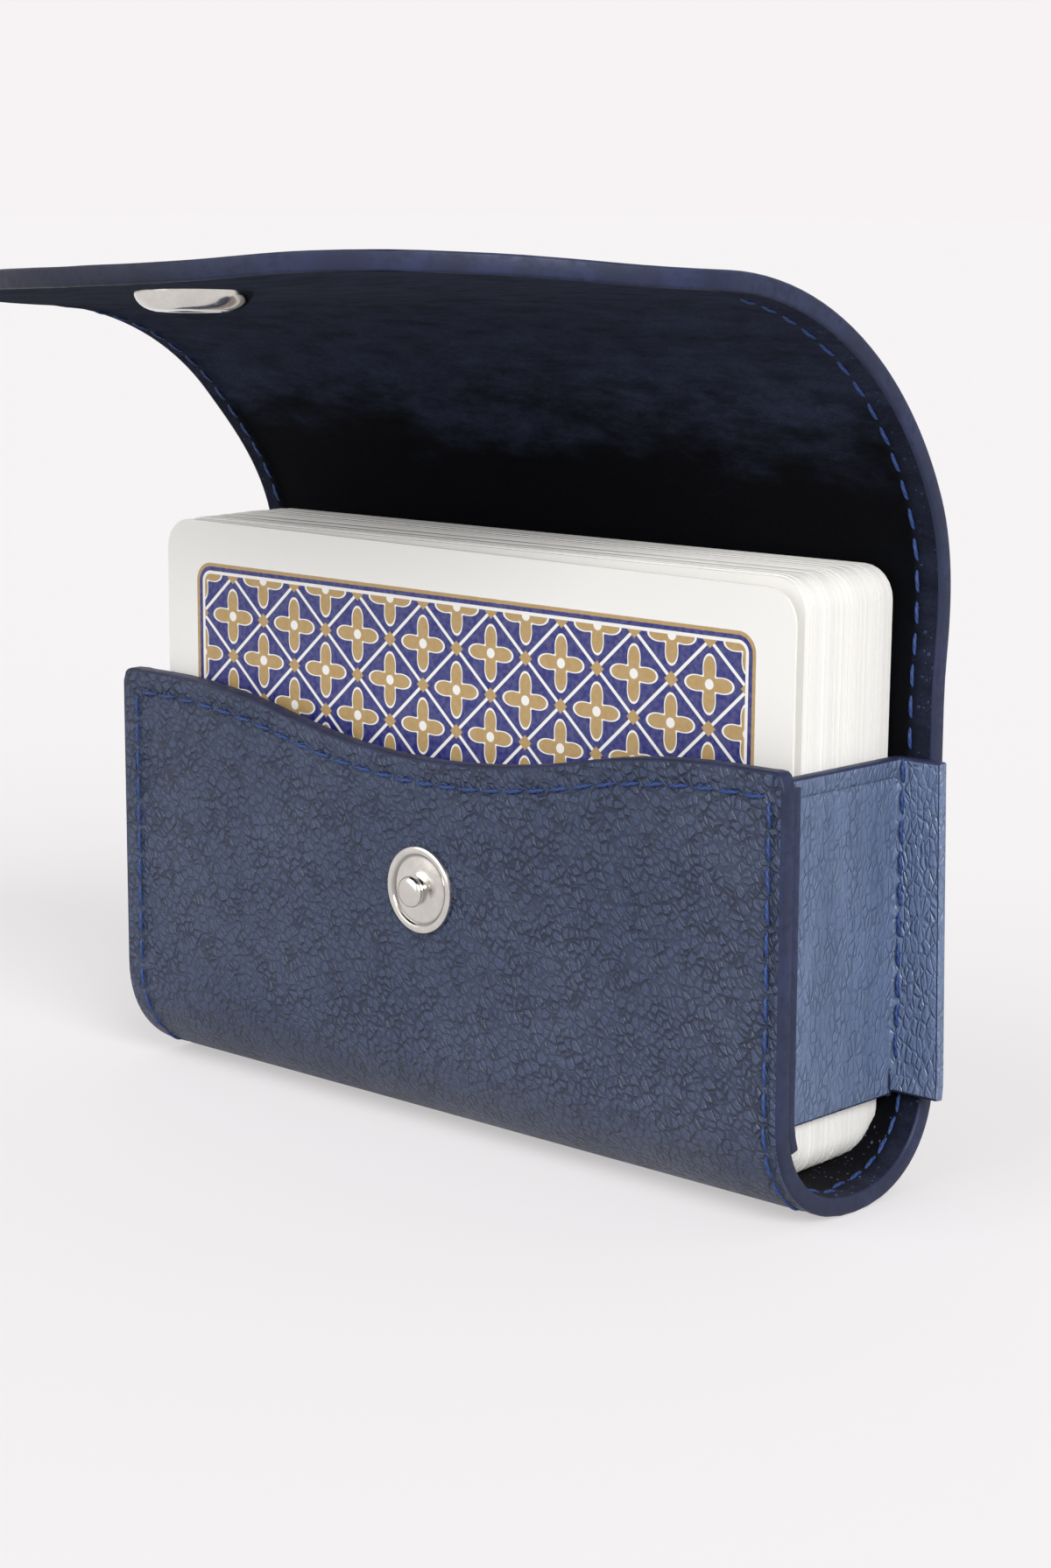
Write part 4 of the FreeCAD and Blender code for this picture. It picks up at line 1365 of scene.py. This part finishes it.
# Printed back, in millimetres: rounding of its frame, width and height of a diamond, softness of a line
PRINT_CORNER = 2.2
DIAMOND = (9.6, 9.0)
INK_EDGE = 0.03


@made_once("card_print")
def print_finish(context, tree, shader, spots):
    """Printed back: a bare margin, ruled lines and a lattice with rosettes."""
    shades, cards = get(context, "finish"), get(context, "cards")
    white, navy, gold = shades.stock, shades.print_ground, shades.print_gold
    long, high, margin = cards.long * 1000, cards.high * 1000, cards.margin * 1000
    chart = add(tree, "ShaderNodeUVMap").outputs["UV"]
    values = {"Vector": chart, "Location": (-long / 2, -high / 2, 0), "Scale": (long, high, 1)}
    place = axes(tree, add(tree, "ShaderNodeMapping", values).outputs["Vector"])
    x, z = place["X"], place["Y"]
    past_side, past_top = (
        calc(tree, "SUBTRACT", calc(tree, "ABSOLUTE", value), side / 2 - margin - PRINT_CORNER)
        for value, side in ((x, long), (z, high))
    )
    far = hypotenuse(tree, *(calc(tree, "MAXIMUM", past, 0.0) for past in (past_side, past_top)))
    near = calc(tree, "MINIMUM", calc(tree, "MAXIMUM", past_side, past_top), 0.0)
    frame_at = calc(tree, "SUBTRACT", calc(tree, "ADD", far, near), PRINT_CORNER)
    picture = lattice(tree, x, z, navy, gold, white)
    for low, high_end, ink in ((-1.25, -0.88, white), (-0.88, -0.4, navy), (-0.4, 0.0, gold)):
        picture = mix(tree, between(tree, frame_at, low, high_end), picture, ink)
    picture = mix(tree, rise(tree, frame_at, -INK_EDGE, INK_EDGE), picture, white)
    fibre = clouds(tree, spots, 1800.0, 2.0)
    plug(tree, shader, {
        "Base Color": mix(tree, rise(tree, fibre, 0.3, 0.7, 0.06, 0.0), picture, white),
        "Roughness": 0.42,
    })
    raise_surface(tree, shader, clouds(tree, spots, 1500.0, 1.0), 0.00002, 0.25)


def hypotenuse(tree, across, up):
    """Distance of a place from the origin."""
    squares = calc(tree, "ADD", times(tree, across, across), times(tree, up, up))
    return calc(tree, "SQRT", squares)


def between(tree, value, low, high):
    """1 between two values, 0 outside."""
    past_low = rise(tree, value, low - INK_EDGE, low + INK_EDGE)
    return times(tree, past_low, fall(tree, value, high - INK_EDGE, high + INK_EDGE))


def lattice(tree, x, z, navy, gold, white):
    """Lattice of diamonds with a four-petalled rosette in each and a dot where the lines cross."""
    wide, tall = DIAMOND
    across, up = calc(tree, "DIVIDE", x, wide), calc(tree, "DIVIDE", z, tall)
    first, second = (
        calc(tree, "SUBTRACT", calc(tree, "FRACT", calc(tree, sign, across, up)), 0.5)
        for sign in ("ADD", "SUBTRACT")
    )
    off_first, off_second = calc(tree, "ABSOLUTE", first), calc(tree, "ABSOLUTE", second)
    line = calc(tree, "MAXIMUM", off_first, off_second)
    cross = calc(tree, "MINIMUM", off_first, off_second)
    beside = times(tree, calc(tree, "ADD", first, second), wide / 2)
    above = times(tree, calc(tree, "SUBTRACT", first, second), tall / 2)
    far = hypotenuse(tree, beside, above)
    turn = times(tree, calc(tree, "ARCTAN2", above, beside), 4.0)
    petal = calc(tree, "MULTIPLY_ADD", calc(tree, "COSINE", turn), 0.95, 1.95)
    past_petal = calc(tree, "SUBTRACT", far, petal)
    picture = mix(tree, rise(tree, line, 0.468, 0.478), navy, white)
    picture = mix(tree, fall(tree, past_petal, 0.2, 0.28), picture, white)
    picture = mix(tree, fall(tree, past_petal, -0.06, 0.02), picture, gold)
    picture = mix(tree, fall(tree, far, 0.5, 0.58), picture, white)
    return mix(tree, rise(tree, cross, 0.4, 0.415), picture, gold)


# Camera fitted to the photograph: its place, its directions and its lens in millimetres
CAMERA_PLACE = (0.23866, -0.25269, 0.10347)
CAMERA_RIGHT = (0.7307, 0.6826, 0.0041)
CAMERA_UP = (-0.1297, 0.1329, 0.9826)
CAMERA_BACK = (0.6702, -0.7186, 0.1857)
CAMERA_LENS = 74.21
SENSOR_HEIGHT = 36

# Floor as it scatters light, how much of its colour is added for the eye, and the world as light
FLOOR_MATT = (0.45, 0.446, 0.448, 1.0)
FLOOR_LIFT = 0.5
WORLD_LIGHT = (0.46, 0.46, 0.465, 1.0)


def eye_rays(tree):
    """Kinds of ray, and 1 for those from the eye or off shiny faces."""
    kinds = tree.nodes.new("ShaderNodeLightPath").outputs
    return kinds, calc(tree, "MAXIMUM", kinds["Is Camera Ray"], kinds["Is Glossy Ray"])


class CASE_OT_stage(bpy.types.Operator):
    """Set the floor, the light and the camera"""

    bl_idname = "card_case.stage"
    bl_label = "Stage"

    def execute(self, context):
        shades = get(context, "finish")
        scene = context.scene
        scene.view_settings.view_transform = "Standard"
        self.floor(context, shades)
        self.world(scene, shades)
        self.lamp("key", towards=(0.8, -0.42, 0.5), energy=2.6, spread=32)
        self.lamp("fill", towards=(-0.3, -0.85, 0.45), energy=1.1, spread=60)
        self.camera(scene)
        return {"FINISHED"}

    def floor(self, context, shades):
        """Pale floor that keeps the shadow."""
        only(None)
        just_below = -0.00002
        bpy.ops.mesh.primitive_plane_add(size=12, location=(0, 0, just_below))
        floor = context.object
        floor.name = "floor"
        finish = bpy.data.materials.new("pale_floor")
        finish.use_nodes = True
        tree = finish.node_tree
        tree.nodes.remove(tree.nodes["Principled BSDF"])
        _, seen = eye_rays(tree)
        strength = times(tree, seen, FLOOR_LIFT)
        matt = add(tree, "ShaderNodeBsdfDiffuse", {"Color": FLOOR_MATT})
        lift = add(tree, "ShaderNodeEmission", {"Color": tuple(shades.floor), "Strength": strength})
        both = add(tree, "ShaderNodeAddShader", {0: matt.outputs[0], 1: lift.outputs[0]})
        tree.links.new(both.outputs[0], tree.nodes["Material Output"].inputs["Surface"])
        dress(floor, finish)

    def world(self, scene, shades):
        """The floor's colour round the scene for the eye and for shiny metal, softer as light."""
        world = bpy.data.worlds.new("studio")
        scene.world = world
        world.use_nodes = True
        tree = world.node_tree
        ground = tree.nodes["Background"]
        kinds, seen = eye_rays(tree)
        seen = calc(tree, "MAXIMUM", seen, kinds["Is Transmission Ray"])
        plug(tree, ground, {"Color": mix(tree, seen, WORLD_LIGHT, shades.floor), "Strength": 1.0})

    def lamp(self, name, towards, energy, spread):
        """Soft even light from one side."""
        data = bpy.data.lights.new(name, "SUN")
        data.energy = energy
        data.angle = math.radians(spread)
        lamp = bpy.data.objects.new(name, data)
        lamp.rotation_euler = Vector(towards).to_track_quat("Z", "Y").to_euler()
        bpy.context.collection.objects.link(lamp)

    def camera(self, scene):
        """Camera at the photograph's place."""
        data = bpy.data.cameras.new("camera")
        data.sensor_fit = "VERTICAL"
        data.sensor_height = SENSOR_HEIGHT
        data.lens = CAMERA_LENS
        camera = bpy.data.objects.new("camera", data)
        turn = Matrix((CAMERA_RIGHT, CAMERA_UP, CAMERA_BACK)).transposed().to_4x4()
        camera.matrix_world = Matrix.Translation(CAMERA_PLACE) @ turn
        bpy.context.collection.objects.link(camera)
        scene.camera = camera


class CASE_PT_panel(bpy.types.Panel):
    """Buttons for the case's pieces, and its sizes and colours."""

    bl_idname = "CASE_PT_panel"
    bl_label = "Card case"
    bl_space_type = "VIEW_3D"
    bl_region_type = "UI"
    bl_category = "Card case"

    def draw(self, context):
        for operator in OPERATORS:
            self.layout.operator(operator.bl_idname)
        for group in GROUPS:
            box = self.layout.box()
            box.label(text=group.title())
            settings = get(context, group)
            for name in GROUPS[group].__annotations__:
                box.prop(settings, name)


GROUPS = {
    "strip": CASE_PG_strip,
    "gusset": CASE_PG_gusset,
    "thread": CASE_PG_thread,
    "cards": CASE_PG_cards,
    "snap": CASE_PG_snap,
    "finish": CASE_PG_finish,
}
OPERATORS = (CASE_OT_strip, CASE_OT_gussets, CASE_OT_seams, CASE_OT_deck, CASE_OT_snap, CASE_OT_stage)


def register():
    """Make the classes and their properties known."""
    for made in (*GROUPS.values(), *OPERATORS, CASE_PT_panel):
        bpy.utils.register_class(made)
    for group, kind in GROUPS.items():
        setattr(bpy.types.Scene, f"card_case_{group}", PointerProperty(type=kind))


def unregister():
    """Take the classes and their properties away."""
    for group in GROUPS:
        delattr(bpy.types.Scene, f"card_case_{group}")
    for made in reversed((*GROUPS.values(), *OPERATORS, CASE_PT_panel)):
        bpy.utils.unregister_class(made)


def main():
    """Model the case piece by piece."""
    register()
    bpy.ops.card_case.strip()
    bpy.ops.card_case.gussets()
    bpy.ops.card_case.seams()
    bpy.ops.card_case.deck()
    bpy.ops.card_case.snap()
    bpy.ops.card_case.stage()
    bpy.context.view_layer.update()


if __name__ == "__main__":
    main()
